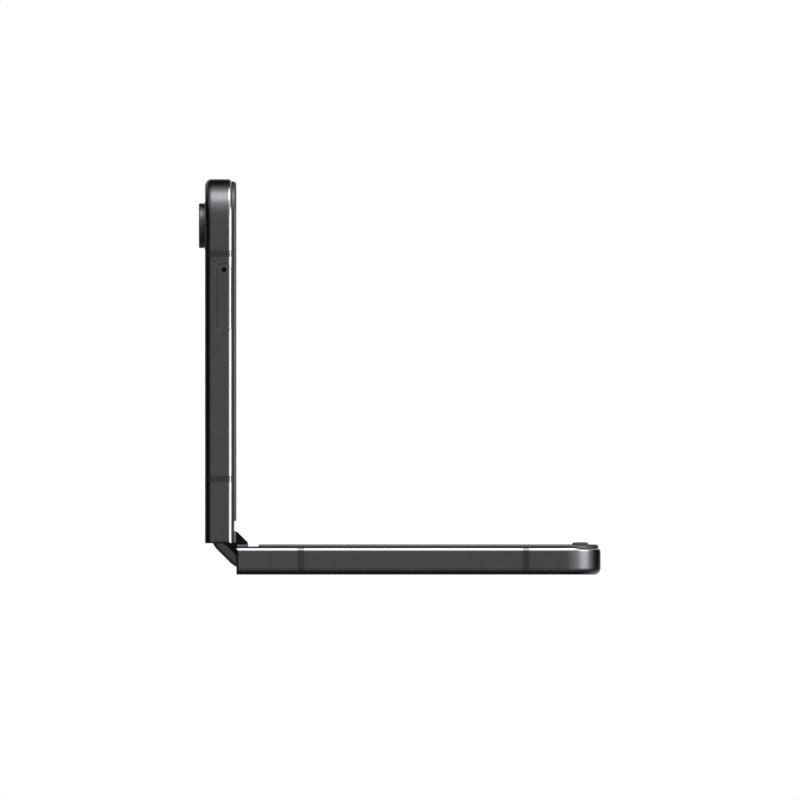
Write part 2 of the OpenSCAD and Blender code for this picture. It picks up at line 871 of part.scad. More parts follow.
module upper_frame() {
  color(metal) in_upper() difference() {
    frame_shell();
    key_bar(power_u, power_l + 2 * key_gap, key_h + 2 * key_gap, bay_v - 1, half_w + 1);
    key_bar(volume_u, volume_l + 2 * key_gap, key_h + 2 * key_gap, bay_v - 1, half_w + 1);
    tray_face(2 * key_gap);
    block([tray_u - tray_l / 2, -bay_v - eps, tray_w0 - 0.2],
          [tray_u + tray_l / 2, -bay_v + 1.2, tray_w1 + 0.4]);
  }
}

module cover_glass() {
  color(black) in_upper() difference() {
    plan(glass_rim + fit, glass_u0 + fit, 0, glass_t);
    for (v = ring_vs) translate([ring_u, v, -1]) cylinder(r = ring_d / 2 - 0.6, h = 3);
    translate([ring_u, flash_v, -1]) cylinder(r = flash_r + fit, h = 3);
  }
}

module cover_display() {
  color([0.02, 0.02, 0.03]) in_upper() difference() {
    plan(window_inset + fit, window_u0 + fit, glass_t, glass_t + window_t);
    for (v = ring_vs) translate([ring_u, v, -1]) cylinder(r = ring_d / 2, h = 3);
    translate([ring_u, flash_v, -1]) cylinder(r = flash_r + 0.4, h = 3);
  }
}

module upper_mid_plate() {
  color(steel) in_upper() difference() {
    mid_plate(upper_bosses, board_w1);
    eye_bore();
  }
}

module upper_display_plate() {
  color(steel) in_upper() display_plate(true);
}

module upper_display_panel() {
  color(black) in_upper() display_panel(true);
}

module upper_bezel() {
  color(black) in_upper() bezel(upper_rim_h);
}

module upper_antenna_bands() {
  color([0.2, 0.2, 0.21]) in_upper() antenna_bands();
}

module upper_battery() {
  color(foil) in_upper()
    block([cell_u0, -cell_w / 2, cell_w0], [board_u0 - cell_gap, cell_w / 2, cell_w0 + cell_t]);
}

module main_board() {
  color(green) in_upper() difference() {
    union() {
      plan(half_w - bracket_v0 + 0.2, board_u0, board_w0, board_w1);
      block([board_u0 + 3, -chip_v, board_w0 - 0.8], [chips_u1, -2, board_w0 + eps]);
      block([board_u0 + 4, 0.4 * chip_v, board_w0 - 0.8], [chips_u1 - 1, 1.3 * chip_v, board_w0 + eps]);
    }
    block([ring_u - module_half - module_fit, ring_vs[1] - module_half - module_fit, 0],
          [ring_u + module_half + module_fit, ring_vs[0] + module_half + module_fit, frame_t]);
    board_holes(upper_bosses);
  }
}

module board_shields() {
  color(steel) in_upper() {
    block([board_u0 + 1.5, -half_w / 2, board_w1], [chips_u1, 0.12 * half_w, board_w1 + shield_h]);
    block([board_u0 + 1.5, 0.15 * half_w, board_w1], [chips_u1, 0.8 * half_w, board_w1 + 0.9 * shield_h]);
  }
}

module camera_modules() {
  color([0.1, 0.1, 0.11]) in_upper() for (v = ring_vs) translate([ring_u, v, 0]) {
    translate([0, 0, lens_w + 0.1]) cylinder(r = ring_d / 2 - 1.6, h = 2.6);
    block([-module_half, -module_half, 1.4], [module_half, module_half, mid_bot - fit]);
  }
}

// One camera ring: proud rim, foot on the glass and a sleeve through it
module camera_rings() {
  r = ring_d / 2;
  color(metal) in_upper() for (v = ring_vs) translate([ring_u, v, 0]) rotate_extrude()
    polygon([
      [r - 1.45, lens_w], [r - 1, lens_w], [r - 1, -ring_h + 0.1], [r - 0.9, -ring_h], [r - 0.25, -ring_h],
      [r, -ring_h + 0.25], [r, -0.35], [r - 0.15, -0.3], [r - 0.15, -0.2], [r + 0.2, -0.2],
      [r + 0.2, 0], [r - 0.65, 0], [r - 0.65, glass_t + 0.5], [r - 1.45, glass_t + 0.5]
    ]);
}

module camera_lenses() {
  color([0.03, 0.04, 0.06]) in_upper() for (v = ring_vs)
    translate([ring_u, v, lens_w - lens_t]) cylinder(r = ring_d / 2 - 1 - 0.03, h = lens_t);
}

module flash_lens() {
  color([0.95, 0.93, 0.8]) in_upper() translate([ring_u, flash_v, 0]) {
    cylinder(r = flash_r, h = glass_t);
    translate([0, 0, glass_t - eps]) cylinder(r = flash_r - 0.4, h = board_w0 - glass_t);
  }
}

module front_camera() {
  color(black) in_upper() translate([far_u - eye_end, 0, 0]) {
    block([-2.9, -3, board_w1], [2.9, 3, mid_bot - fit]);
    translate([0, 0, mid_bot - 0.1]) cylinder(d = eye_d - 0.2, h = panel_top - mid_bot);
  }
}

module earpiece() {
  color(black) in_upper() block([wall_u - 2.6, -7, board_w1], [wall_u - fit, 7, mid_bot - shelf_t - fit]);
}

module tray_socket() {
  color(steel) in_upper() difference() {
    block([tray_low_u - 0.6, -bay_v + fit, board_w1], [tray_high_u + 1.6, socket_v1, tray_w1 + 0.35]);
    block([tray_low_u - 0.1, -bay_v - 1, tray_w0 - 0.1],
          [tray_high_u + 0.1, socket_v1 - 0.8, tray_w1 + 0.1]);
  }
}

module upper_screws() {
  color(steel) in_upper() {
    board_screws(upper_bosses, board_w0);
    arm_screws();
  }
}

// Sheet metal behind the keys, with its top against the mid plate
module key_bracket() {
  color(steel) in_upper() block([power_u - power_l / 2 - 0.5, bracket_v0, floor_top + 0.1],
                                [volume_u + volume_l / 2 + 1, switch_v0, mid_bot]);
}

// A strip on the bracket with one dome switch for the power key and two for the volume key
module key_switches() {
  strip_v1 = switch_v1 - 0.3;
  color(brass) in_upper() {
    block([power_u - power_l / 2 + 1.5, switch_v0, key_w - 1.3],
          [volume_u + volume_l / 2, strip_v1, key_w + 1.3]);
    for (u = [power_u, volume_u - volume_stud, volume_u + volume_stud])
      translate([u, 0, key_w]) along_v(strip_v1 - eps, switch_v1) circle(1.2);
  }
}

// A key: bar through the wall, flange behind it and studs that stop short of the switches
module key(u, l, flange_v, stud_at) {
  key_bar(u, l, key_h, flange_v, half_w + key_out);
  key_bar(u, l + 1, key_h + 0.6, flange_v, flange_v + flange_t);
  for (d = stud_at) translate([u + d, 0, key_w]) along_v(switch_v1 + key_travel, flange_v + eps) circle(0.6);
}

module power_key() {
  color(metal) in_upper() key(power_u, power_l, power_flange_v, [0]);
}

// The volume key rocks on a round rib across the middle of its flange
module volume_key() {
  color(metal) in_upper() {
    key(volume_u, volume_l, volume_flange_v, [-volume_stud, volume_stud]);
    translate([volume_u, rib_v, key_w - key_h / 2]) cylinder(r = rib_r, h = key_h);
  }
}

module card_tray() {
  color(metal) in_upper() difference() {
    union() {
      intersection() {
        slab();
        tray_face(0);
      }
      difference() {
        block([tray_low_u, -bay_v - eps, tray_w0], [tray_high_u, tray_v1, tray_w1]);
        block([tray_low_u + 0.3, -bay_v + 0.8, tray_w0 + 0.25],
              [tray_high_u - 0.3, tray_v1 - 1.4, tray_w1 + 1]);
        block([tray_low_u + 1.5, -bay_v + 2, tray_w0 - 1],
              [tray_high_u - 1.5, tray_v1 - 3, tray_w1]);
      }
    }
    translate([tray_u + (tray_l - tray_h) / 2, 0, tray_w])
      along_v(-half_w - 1, -bay_v + 1) circle(pin_hole_d / 2);
  }
}

lower_frame();
lower_back_glass();
lower_mid_plate();
lower_display_plate();
lower_display_panel();
lower_bezel();
bumper_pads();
lower_antenna_bands();
lower_battery();
lower_board();
charging_port();
loudspeaker();
vibration_motor();
charging_coil();
lower_hinge_arms();
lower_screws();
spine_cover();
hinge_base();
spine_caps();
pivot_pins();
idler_pins();
spine_screws();
lower_idler_gears();
upper_idler_gears();
display_fold();
ribbon_cables();
upper_frame();
cover_glass();
cover_display();
upper_mid_plate();
upper_display_plate();
upper_display_panel();
upper_bezel();
upper_antenna_bands();
upper_battery();
main_board();
board_shields();
camera_modules();
camera_rings();
camera_lenses();
flash_lens();
front_camera();
earpiece();
tray_socket();
upper_hinge_arms();
upper_screws();
key_bracket();
key_switches();
power_key();
volume_key();
card_tray();
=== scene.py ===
"""Looks of a folding phone, half open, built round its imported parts.

Sizes are millimetres in the classes and metres in the meshes. A half is laid out flat: u runs from
the hinge centre to the far end, v across the width and w from the back glass to the screen.
"""

import logging
import math
from dataclasses import dataclass
from enum import Enum
from typing import Any, Callable, Mapping, Sequence, Union

import bmesh
import bpy
import numpy as np
from numpy.typing import NDArray
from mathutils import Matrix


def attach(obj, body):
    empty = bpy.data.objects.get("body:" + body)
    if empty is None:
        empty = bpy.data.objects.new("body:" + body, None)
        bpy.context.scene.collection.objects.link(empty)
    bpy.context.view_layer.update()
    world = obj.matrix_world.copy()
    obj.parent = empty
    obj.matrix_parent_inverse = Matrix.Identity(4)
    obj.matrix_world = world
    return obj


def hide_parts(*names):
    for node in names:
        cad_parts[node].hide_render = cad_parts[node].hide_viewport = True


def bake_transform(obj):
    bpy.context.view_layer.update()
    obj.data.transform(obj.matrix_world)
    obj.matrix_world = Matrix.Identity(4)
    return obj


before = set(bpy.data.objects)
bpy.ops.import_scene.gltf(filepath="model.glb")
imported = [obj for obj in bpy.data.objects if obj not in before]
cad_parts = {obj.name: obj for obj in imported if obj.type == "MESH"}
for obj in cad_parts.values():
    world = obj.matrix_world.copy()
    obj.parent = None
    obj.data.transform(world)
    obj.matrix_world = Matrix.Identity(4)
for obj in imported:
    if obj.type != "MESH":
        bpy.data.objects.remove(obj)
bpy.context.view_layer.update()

Array = NDArray[np.float64]
Rgb = tuple[int, int, int]
Vector = tuple[float, float, float]
Profile = Sequence[tuple[float, float]]
Number = Union[int, float]

MM = 0.001
EIGHTH = 45.0  # Degrees between each half and the spine at rest
LOG = logging.getLogger("phone")


# Shader maths


def operator(operation: str, swapped: bool = False) -> Callable[["Wire", "Wire | Number"], "Wire"]:
    """Makes the method of Wire that stands for one of Python's operators.

    Args:
        operation: Blender's name of the operation.
        swapped: Whether the wire is the second value, as in 1 - wire.

    Returns:
        The method, which adds one Math node and returns its result.
    """
    def method(self: "Wire", other: "Wire | Number") -> "Wire":
        first, second = (other, self) if swapped else (self, other)
        return self.graph.node("ShaderNodeMath", {"operation": operation}, {0: first, 1: second})
    return method


class Wire:
    """One output of a material's nodes, with Python's operators as Math nodes."""

    __add__, __radd__ = operator("ADD"), operator("ADD", True)
    __sub__, __rsub__ = operator("SUBTRACT"), operator("SUBTRACT", True)
    __mul__, __rmul__ = operator("MULTIPLY"), operator("MULTIPLY", True)
    __truediv__, __rtruediv__ = operator("DIVIDE"), operator("DIVIDE", True)
    __pow__, __mod__ = operator("POWER"), operator("FLOORED_MODULO")
    at_least = operator("MAXIMUM")

    def __init__(self, graph: "Graph", socket: bpy.types.NodeSocket) -> None:
        """Keeps the output and the graph that it belongs to.

        Args:
            graph: The material's graph.
            socket: The output that this wire carries.
        """
        self.graph = graph
        self.socket = socket

    def size(self) -> "Wire":
        """Absolute value."""
        return self.graph.node("ShaderNodeMath", {"operation": "ABSOLUTE"}, {0: self})

    def ramp(self, low: float, high: float) -> "Wire":
        """A smooth step from 0 at low to 1 at high, also where low is the greater.

        Args:
            low: The value at which the step leaves 0.
            high: The value at which it reaches 1.

        Returns:
            The step.
        """
        return self.graph.node("ShaderNodeMapRange", {"interpolation_type": "SMOOTHSTEP"},
                               {0: self, 1: low, 2: high, 3: 0.0, 4: 1.0})


Feed = Union[Wire, Number, Sequence[float]]


class Graph:
    """The nodes of one material or of the world."""

    def __init__(self, owner: bpy.types.Material | bpy.types.World, shader: str, end: str) -> None:
        """Clears the owner's nodes, and starts them with one shader that feeds the output.

        Args:
            owner: The material or world.
            shader: Blender's name of the shader node type.
            end: Blender's name of the output node type.
        """
        owner.use_nodes = True
        self.tree = owner.node_tree
        self.tree.nodes.clear()
        self.shader = self.tree.nodes.new(shader)
        last = self.tree.nodes.new(end)
        self.tree.links.new(self.shader.outputs[0], last.inputs["Surface"])

    @classmethod
    def of(cls, material: bpy.types.Material) -> "Graph":
        """The graph of a material that is already built."""
        made = cls.__new__(cls)
        made.tree = material.node_tree
        made.shader = material.node_tree.nodes["Principled BSDF"]
        return made

    def node(self, kind: str, settings: Mapping[str, Any], feeds: Mapping[int | str, Feed],
             output: int | str = 0) -> Wire:
        """Adds a node of any kind. Its settings come first, then its sockets.

        Args:
            kind: Blender's name of the node type.
            settings: Properties of the node.
            feeds: Values or wires for the input sockets, by place or name.
            output: The output that is wanted, by place or name.

        Returns:
            That output.
        """
        made = self.tree.nodes.new(kind)
        for key, value in settings.items():
            setattr(made, key, value)
        for key, value in feeds.items():
            self.feed(made.inputs[key], value)
        return Wire(self, made.outputs[output])

    def feed(self, socket: bpy.types.NodeSocket, value: Feed) -> None:
        """Sets one socket, by a link for a wire and by its own value otherwise."""
        if isinstance(value, Wire):
            self.tree.links.new(value.socket, socket)
        else:
            socket.default_value = value

    def where(self) -> Wire:
        """Place on the object, in millimetres."""
        place = self.node("ShaderNodeTexCoord", {}, {}, "Object")
        return self.node("ShaderNodeVectorMath", {"operation": "SCALE"},
                         {0: place, "Scale": 1 / MM})

    def axis(self, place: Wire, letter: str) -> Wire:
        """One coordinate of a place: "X", "Y" or "Z"."""
        return self.node("ShaderNodeSeparateXYZ", {}, {0: place}, letter)

    def noise(self, place: Wire, grain: Sequence[float], detail: float = 2.0) -> Wire:
        """Cloudy noise from 0 to 1.

        Args:
            place: Where it is read, in millimetres.
            grain: The noise's size along X, Y and Z, in millimetres.
            detail: Octaves of finer noise.

        Returns:
            The noise.
        """
        scaled = self.node("ShaderNodeVectorMath", {"operation": "DIVIDE"},
                           {0: place, 1: tuple(grain)})
        return self.node("ShaderNodeTexNoise", {},
                         {"Vector": scaled, "Scale": 1.0, "Detail": detail}, 0)

    def mix(self, share: Feed, first: Feed, second: Feed) -> Wire:
        """A colour between two colours."""
        return self.node("ShaderNodeMix", {"data_type": "RGBA"}, {0: share, 6: first, 7: second}, 2)

    def bump(self, height: Wire, depth: float) -> Wire:
        """A normal tilted by a height from 0 to 1 that is depth millimetres deep."""
        return self.node("ShaderNodeBump", {},
                         {"Strength": 1.0, "Distance": depth * MM, "Height": height}, 0)


def linear(colour: Rgb) -> tuple[float, float, float, float]:
    """A display colour of 0 to 255 as linear light, by the standard curve of displays."""
    parts = [c / 255 for c in colour]
    red, green, blue = (p / 12.92 if p <= 0.04045 else ((p + 0.055) / 1.055) ** 2.4 for p in parts)
    return (red, green, blue, 1.0)


# Finishes


CLOUD = (9.0, 9.0, 9.0)  # Sizes of slow changes over a surface, in millimetres
SMUDGE = (4.0, 4.0, 4.0)
SMEAR = (14.0, 14.0, 14.0)
COAT_ROUGH = 0.08
SHARP = 0.05  # Width of the step at a printed or moulded edge, in millimetres
# Painted highlight on the antenna bands' edge beside the screen
BAND_HIGHLIGHT = (104, 105, 108)


@dataclass(frozen=True)
class Finish:
    """A moulded, painted or machined surface: clouded colour, fine grain and roughness."""

    name: str
    colour: Rgb
    rough: float = 0.5
    metal: float = 0.0
    cloud: float = 0.08
    grain: Vector = (0.12, 0.12, 0.12)
    depth: float = 0.004
    coat: float = 0.0
    ior: float = 1.45

    def paint(self, graph: Graph, place: Wire) -> Feed:
        """Base colour: the finish's own, darker and lighter by the cloud."""
        cloud = graph.noise(place, CLOUD, 3.0)
        own = linear(self.colour)
        dark = tuple(c * (1 - self.cloud) for c in own[:3]) + (1.0,)
        pale = tuple(min(1.0, c * (1 + self.cloud)) for c in own[:3]) + (1.0,)
        return graph.mix(cloud.ramp(0.3, 0.7), dark, pale)

    def roughness(self, graph: Graph, place: Wire) -> Feed:
        """Roughness: the finish's own, with faint smudges."""
        spread = 0.12
        return graph.noise(place, SMUDGE, 3.0) * spread + (self.rough - spread / 2)

    def relief(self, graph: Graph, place: Wire) -> Wire:
        """Height of the fine grain, from 0 to 1."""
        return graph.noise(place, self.grain)

    def build(self) -> bpy.types.Material:
        """Makes the material.

        Returns:
            The material, with every pattern read from Object coordinates.
        """
        made = bpy.data.materials.new(self.name)
        graph = Graph(made, "ShaderNodeBsdfPrincipled", "ShaderNodeOutputMaterial")
        place = graph.where()
        sockets = graph.shader.inputs
        graph.feed(sockets["Base Color"], self.paint(graph, place))
        graph.feed(sockets["Roughness"], self.roughness(graph, place))
        graph.feed(sockets["Normal"], graph.bump(self.relief(graph, place), self.depth))
        sockets["Metallic"].default_value = self.metal
        sockets["Coat Weight"].default_value = self.coat
        sockets["Coat Roughness"].default_value = COAT_ROUGH
        sockets["IOR"].default_value = self.ior
        return made


class Along(Enum):
    """The row frame's axis that brushing runs along."""

    X = (9.0, 0.05, 0.05)
    Y = (0.05, 9.0, 0.05)


@dataclass(frozen=True)
class Brushed(Finish):
    """Metal with fine lines along one axis."""

    along: Along = Along.Y

    def relief(self, graph: Graph, place: Wire) -> Wire:
        """Noise drawn out along the brushing."""
        return graph.noise(place, self.along.value, 1.0)


@dataclass(frozen=True)
class Anodised(Finish):
    """A half's dark frame: fine blasted grain, and a polished edge beside the screen with a painted
    highlight.
    """

    face: str = "Z"
    edge: float = 5.35
    # Painted highlight: the paler colour of the rounded edge beside the screen
    painted_highlight: Rgb = (150, 152, 156)
    fade: float = 0.12
    sheen: float = 0.5

    def _edge(self, graph: Graph, place: Wire) -> Wire:
        """1 on the rounded edge beside the screen, 0 below it: the mask of its polish and of its
        painted highlight.
        """
        return graph.axis(place, self.face).ramp(self.edge - SHARP, self.edge + self.fade)

    def paint(self, graph: Graph, place: Wire) -> Feed:
        """Dark metal, with a paler painted highlight on the polished edge."""
        return graph.mix(self._edge(graph, place), super().paint(graph, place), linear(self.painted_highlight))

    def roughness(self, graph: Graph, place: Wire) -> Feed:
        """Satin, smoother on the polished edge."""
        polish = self._edge(graph, place) * (self.rough * self.sheen)
        return super().roughness(graph, place) - polish


@dataclass(frozen=True)
class Glass(Finish):
    """Dark polished glass, with faint smears that only change its roughness."""

    depth: float = 0.0
    smear: float = 0.07

    def roughness(self, graph: Graph, place: Wire) -> Feed:
        """Nearly mirror smooth, with smears."""
        return graph.noise(place, SMEAR, 4.0).ramp(0.35, 0.75) * self.smear + self.rough


@dataclass(frozen=True)
class Clear(Glass):
    """Clear glass that shows what lies behind it."""

    def build(self) -> bpy.types.Material:
        """Makes the material, with all of its light let through."""
        made = super().build()
        made.node_tree.nodes["Principled BSDF"].inputs["Transmission Weight"].default_value = 1.0
        return made


@dataclass(frozen=True)
class Board(Finish):
    """A circuit board: solder mask with copper tracks under it and bare pads."""

    across: str = "X"
    pitch: float = 0.7
    cross_pitch: float = 1.3
    bend: float = 2.2
    bend_size: Vector = (3.0, 3.0, 3.0)
    pad_size: Vector = (0.9, 0.9, 0.9)
    track: Rgb = (34, 98, 62)
    pad: Rgb = (196, 172, 120)

    def _lines(self, value: Wire, pitch: float) -> Wire:
        """1 on lines of one pitch, 0 between them."""
        return (value % pitch - pitch / 2).size().ramp(0.2, 0.12)

    def paint(self, graph: Graph, place: Wire) -> Feed:
        """Green mask, paler over the tracks."""
        first, second = graph.axis(place, self.across), graph.axis(place, "Y")
        bend = graph.noise(place, self.bend_size, 1.0) * self.bend
        lines = self._lines(first + bend, self.pitch)
        cross = self._lines(second + bend, self.cross_pitch)
        mask = graph.mix(lines * 0.7 + cross * 0.3, linear(self.colour), linear(self.track))
        pads = graph.noise(place, self.pad_size, 0.0).ramp(0.66, 0.68)
        return graph.mix(pads, mask, linear(self.pad))


@dataclass(frozen=True)
class Port(Brushed):
    """The charging port: a drawn steel shell round a black tongue."""

    level: float = 3.05
    tongue_v: float = 3.4
    tongue_t: float = 0.36
    tip_x: float = 43.9
    plastic: Rgb = (20, 20, 22)

    def _tongue(self, graph: Graph, place: Wire) -> Wire:
        """1 on the tongue, 0 on the shell."""
        x, y, z = (graph.axis(place, letter) for letter in "XYZ")
        flat = (z - self.level).size().ramp(self.tongue_t + SHARP, self.tongue_t)
        wide = (y + PHONE.key_out / 2).size().ramp(self.tongue_v + SHARP, self.tongue_v)
        return flat * wide * x.ramp(self.tip_x + SHARP, self.tip_x)

    def paint(self, graph: Graph, place: Wire) -> Feed:
        """Steel, with black plastic for the tongue."""
        return graph.mix(self._tongue(graph, place), super().paint(graph, place),
                         linear(self.plastic))

    def build(self) -> bpy.types.Material:
        """Makes the material. The tongue isn't metal."""
        made = super().build()
        graph = Graph.of(made)
        graph.feed(graph.shader.inputs["Metallic"], 1 - self._tongue(graph, graph.where()))
        return made


@dataclass(frozen=True)
class Foil(Finish):
    """A battery's wrap: satin foil with soft wrinkles."""

    wrinkle: Vector = (6.0, 2.0, 6.0)
    share: float = 0.9

    def relief(self, graph: Graph, place: Wire) -> Wire:
        """Long soft wrinkles with fine grain on them."""
        fine = graph.noise(place, self.grain) * (1 - self.share)
        return graph.noise(place, self.wrinkle, 3.0) * self.share + fine


FINISHES: dict[str, Finish] = {finish.name: finish for finish in (
    Anodised("frame_metal_lower", (70, 71, 73), 0.30, 1.0, 0.05),
    Anodised("frame_metal_upper", (70, 71, 73), 0.30, 1.0, 0.05, face="X", edge=-38.75),
    Finish("key_metal", (80, 82, 85), 0.3, 1.0, 0.05),
    Finish("ring_metal", (72, 74, 77), 0.4, 1.0, 0.05, depth=0.002),
    Brushed("spine_metal", (65, 65, 67), 0.3, 1.0, 0.06, depth=0.003),
    Anodised("band_lower", (51, 53, 55), 0.38, 0.9, 0.03, depth=0.002, painted_highlight=BAND_HIGHLIGHT),
    Anodised("band_upper", (51, 53, 55), 0.38, 0.9, 0.03, depth=0.002, face="X", edge=-38.75,
             painted_highlight=BAND_HIGHLIGHT),
    Finish("rim_plastic", (30, 31, 33), 0.38, 0.0, 0.1, depth=0.006),
    Finish("cap_plastic", (8, 8, 9), 0.42, 0.0, 0.1, depth=0.006, ior=1.15),
    Finish("pad_rubber", (44, 45, 46), 0.72, 0.0, 0.12, (0.2, 0.2, 0.2), 0.012),
    Glass("back_glass", (30, 31, 34), 0.22, 0.0, 0.03),
    Glass("cover_glass", (9, 9, 11), 0.05, 0.0, 0.02, ior=1.5),
    Glass("cover_display", (5, 5, 8), 0.2, 0.0, 0.05),
    Glass("screen", (8, 8, 11), 0.07, 0.0, 0.02, ior=1.38),
    Brushed("steel_inner", (168, 170, 172), 0.3, 1.0, 0.05),
    Brushed("hinge_steel", (150, 152, 156), 0.25, 1.0, 0.05),
    Brushed("mid_plate", (132, 134, 137), 0.38, 1.0, 0.06),
    Brushed("gear_brass", (206, 172, 104), 0.28, 1.0, 0.06),
    Brushed("ribbon", (196, 134, 62), 0.4, 0.0, 0.1, (0.4, 9.0, 0.4), 0.01, along=Along.X),
    Foil("battery_foil", (52, 53, 58), 0.34, 0.4, 0.08, depth=0.05),
    Board("board_green", (16, 62, 40), 0.35, 0.0),
    Board("board_green_upper", (16, 62, 40), 0.35, 0.0, across="Z"),
    Port("port_steel", (150, 152, 154), 0.26, 1.0, 0.04, along=Along.X),
    Finish("module_black", (22, 22, 25), 0.5, 0.0, 0.1),
    Finish("coil_copper", (184, 106, 62), 0.3, 1.0, 0.08),
    Finish("contact_gold", (212, 176, 96), 0.2, 1.0, 0.04),
    Finish("grille_mesh", (40, 41, 43), 0.5, 0.8, 0.1, (0.08, 0.08, 0.08), 0.03),
    Glass("lens_glass", (6, 7, 12), 0.02, 0.0, 0.02, coat=1.0, ior=1.6),
    Finish("camera_barrel", (14, 14, 16), 0.45, 0.0, 0.05, depth=0.002),
    Clear("lens_cover", (235, 240, 245), 0.02, 0.0, 0.0, ior=1.22),
    Finish("flash_led", (232, 196, 92), 0.5, 0.0, 0.05, (0.3, 0.3, 0.3), 0.02),
    Finish("flash_board", (206, 204, 196), 0.45, 0.0, 0.05),
    Clear("flash_cover", (244, 240, 226), 0.08, 0.0, 0.0, ior=1.3),
)}

CAD_NODES: dict[str, str] = {
    "frame_metal_lower": "lower_frame", "frame_metal_upper": "upper_frame card_tray",
    "key_metal": "power_key volume_key", "ring_metal": "camera_rings", "spine_metal": "spine_cover",
    "band_lower": "lower_antenna_bands", "band_upper": "upper_antenna_bands",
    "rim_plastic": "lower_bezel upper_bezel", "cap_plastic": "spine_caps",
    "pad_rubber": "bumper_pads", "back_glass": "lower_back_glass", "cover_glass": "cover_glass",
    "cover_display": "cover_display",
    "screen": "lower_display_panel upper_display_panel display_fold",
    "steel_inner": "lower_display_plate upper_display_plate spine_screws lower_screws "
                   "upper_screws key_bracket tray_socket board_shields vibration_motor",
    "mid_plate": "lower_mid_plate upper_mid_plate",
    "hinge_steel": "lower_hinge_arms upper_hinge_arms hinge_base pivot_pins idler_pins",
    "gear_brass": "lower_idler_gears upper_idler_gears key_switches", "ribbon": "ribbon_cables",
    "battery_foil": "lower_battery upper_battery", "board_green": "lower_board",
    "board_green_upper": "main_board", "port_steel": "charging_port",
    "coil_copper": "charging_coil",
    "module_black": "loudspeaker earpiece camera_modules front_camera",
    "lens_glass": "camera_lenses", "flash_cover": "flash_lens",
}


class Palette:
    """Builds each finish once, when a piece first asks for it."""

    def __init__(self) -> None:
        """Starts with nothing built."""
        self._built: dict[str, bpy.types.Material] = {}

    def get(self, key: str) -> bpy.types.Material:
        """The material of a finish, by its name."""
        if key not in self._built:
            self._built[key] = FINISHES[key].build()
        return self._built[key]


# Meshes


MERGE = 0.0005  # Points this near to each other, in millimetres, are one


class Surfaces:
    """Gathers grids of points into the mesh of one piece."""

    def __init__(self) -> None:
        """Starts with no points."""
        self.points: list[Array] = []
        self.faces: list[list[int]] = []
        self.count = 0

    def grid(self, points: Array, round_u: bool = False, round_v: bool = False,
             ends: bool = False) -> None:
        """Adds a grid of points as quads, each face between neighbours in both directions.

        Args:
            points: Array of shape (u, v, 3), in millimetres.
            round_u: Whether the last row joins the first.
            round_v: Whether the last column joins the first.
            ends: Whether the first and last rows are closed with a flat face.
        """
        rows, columns = points.shape[:2]
        index = self.count + np.arange(rows * columns).reshape(rows, columns)
        if round_u:
            index = np.vstack([index, index[:1]])
        if round_v:
            index = np.hstack([index, index[:, :1]])
        quads = np.stack([index[:-1, :-1], index[1:, :-1], index[1:, 1:], index[:-1, 1:]], axis=-1)
        self.faces += quads.reshape(-1, 4).tolist()
        if ends:
            edge = self.count + np.arange(columns)
            self.faces += [edge.tolist(), (edge + (rows - 1) * columns)[::-1].tolist()]
        self.points.append(points.reshape(-1, 3))
        self.count += rows * columns

    def bar(self, points: Array) -> None:
        """Adds a grid whose rows are closed outlines, with a flat face at both ends."""
        self.grid(points, round_v=True, ends=True)

    def turned(self, points: Array) -> None:
        """Adds a grid whose rows are closed circles, from one point of its axis to another."""
        self.grid(points, round_v=True)

    def piece(self, name: str, material: bpy.types.Material,
              crease: float = 30.0) -> bpy.types.Object:
        """Makes the object, with faces outwards and edges sharper than the crease kept sharp.

        Args:
            name: The piece's name.
            material: Its finish.
            crease: Angle in degrees.

        Returns:
            The object, at the origin.
        """
        mesh = bpy.data.meshes.new(name)
        mesh.from_pydata((np.vstack(self.points) * MM).tolist(), [], self.faces)
        tidy = bmesh.new()
        tidy.from_mesh(mesh)
        bmesh.ops.remove_doubles(tidy, verts=tidy.verts, dist=MERGE * MM)
        bmesh.ops.recalc_face_normals(tidy, faces=tidy.faces)
        tidy.to_mesh(mesh)
        tidy.free()
        mesh.shade_smooth()
        mesh.set_sharp_from_angle(angle=math.radians(crease))
        mesh.materials.append(material)
        made = bpy.data.objects.new(name, mesh)
        bpy.context.scene.collection.objects.link(made)
        LOG.info("%s has %d faces", name, len(mesh.polygons))
        return made


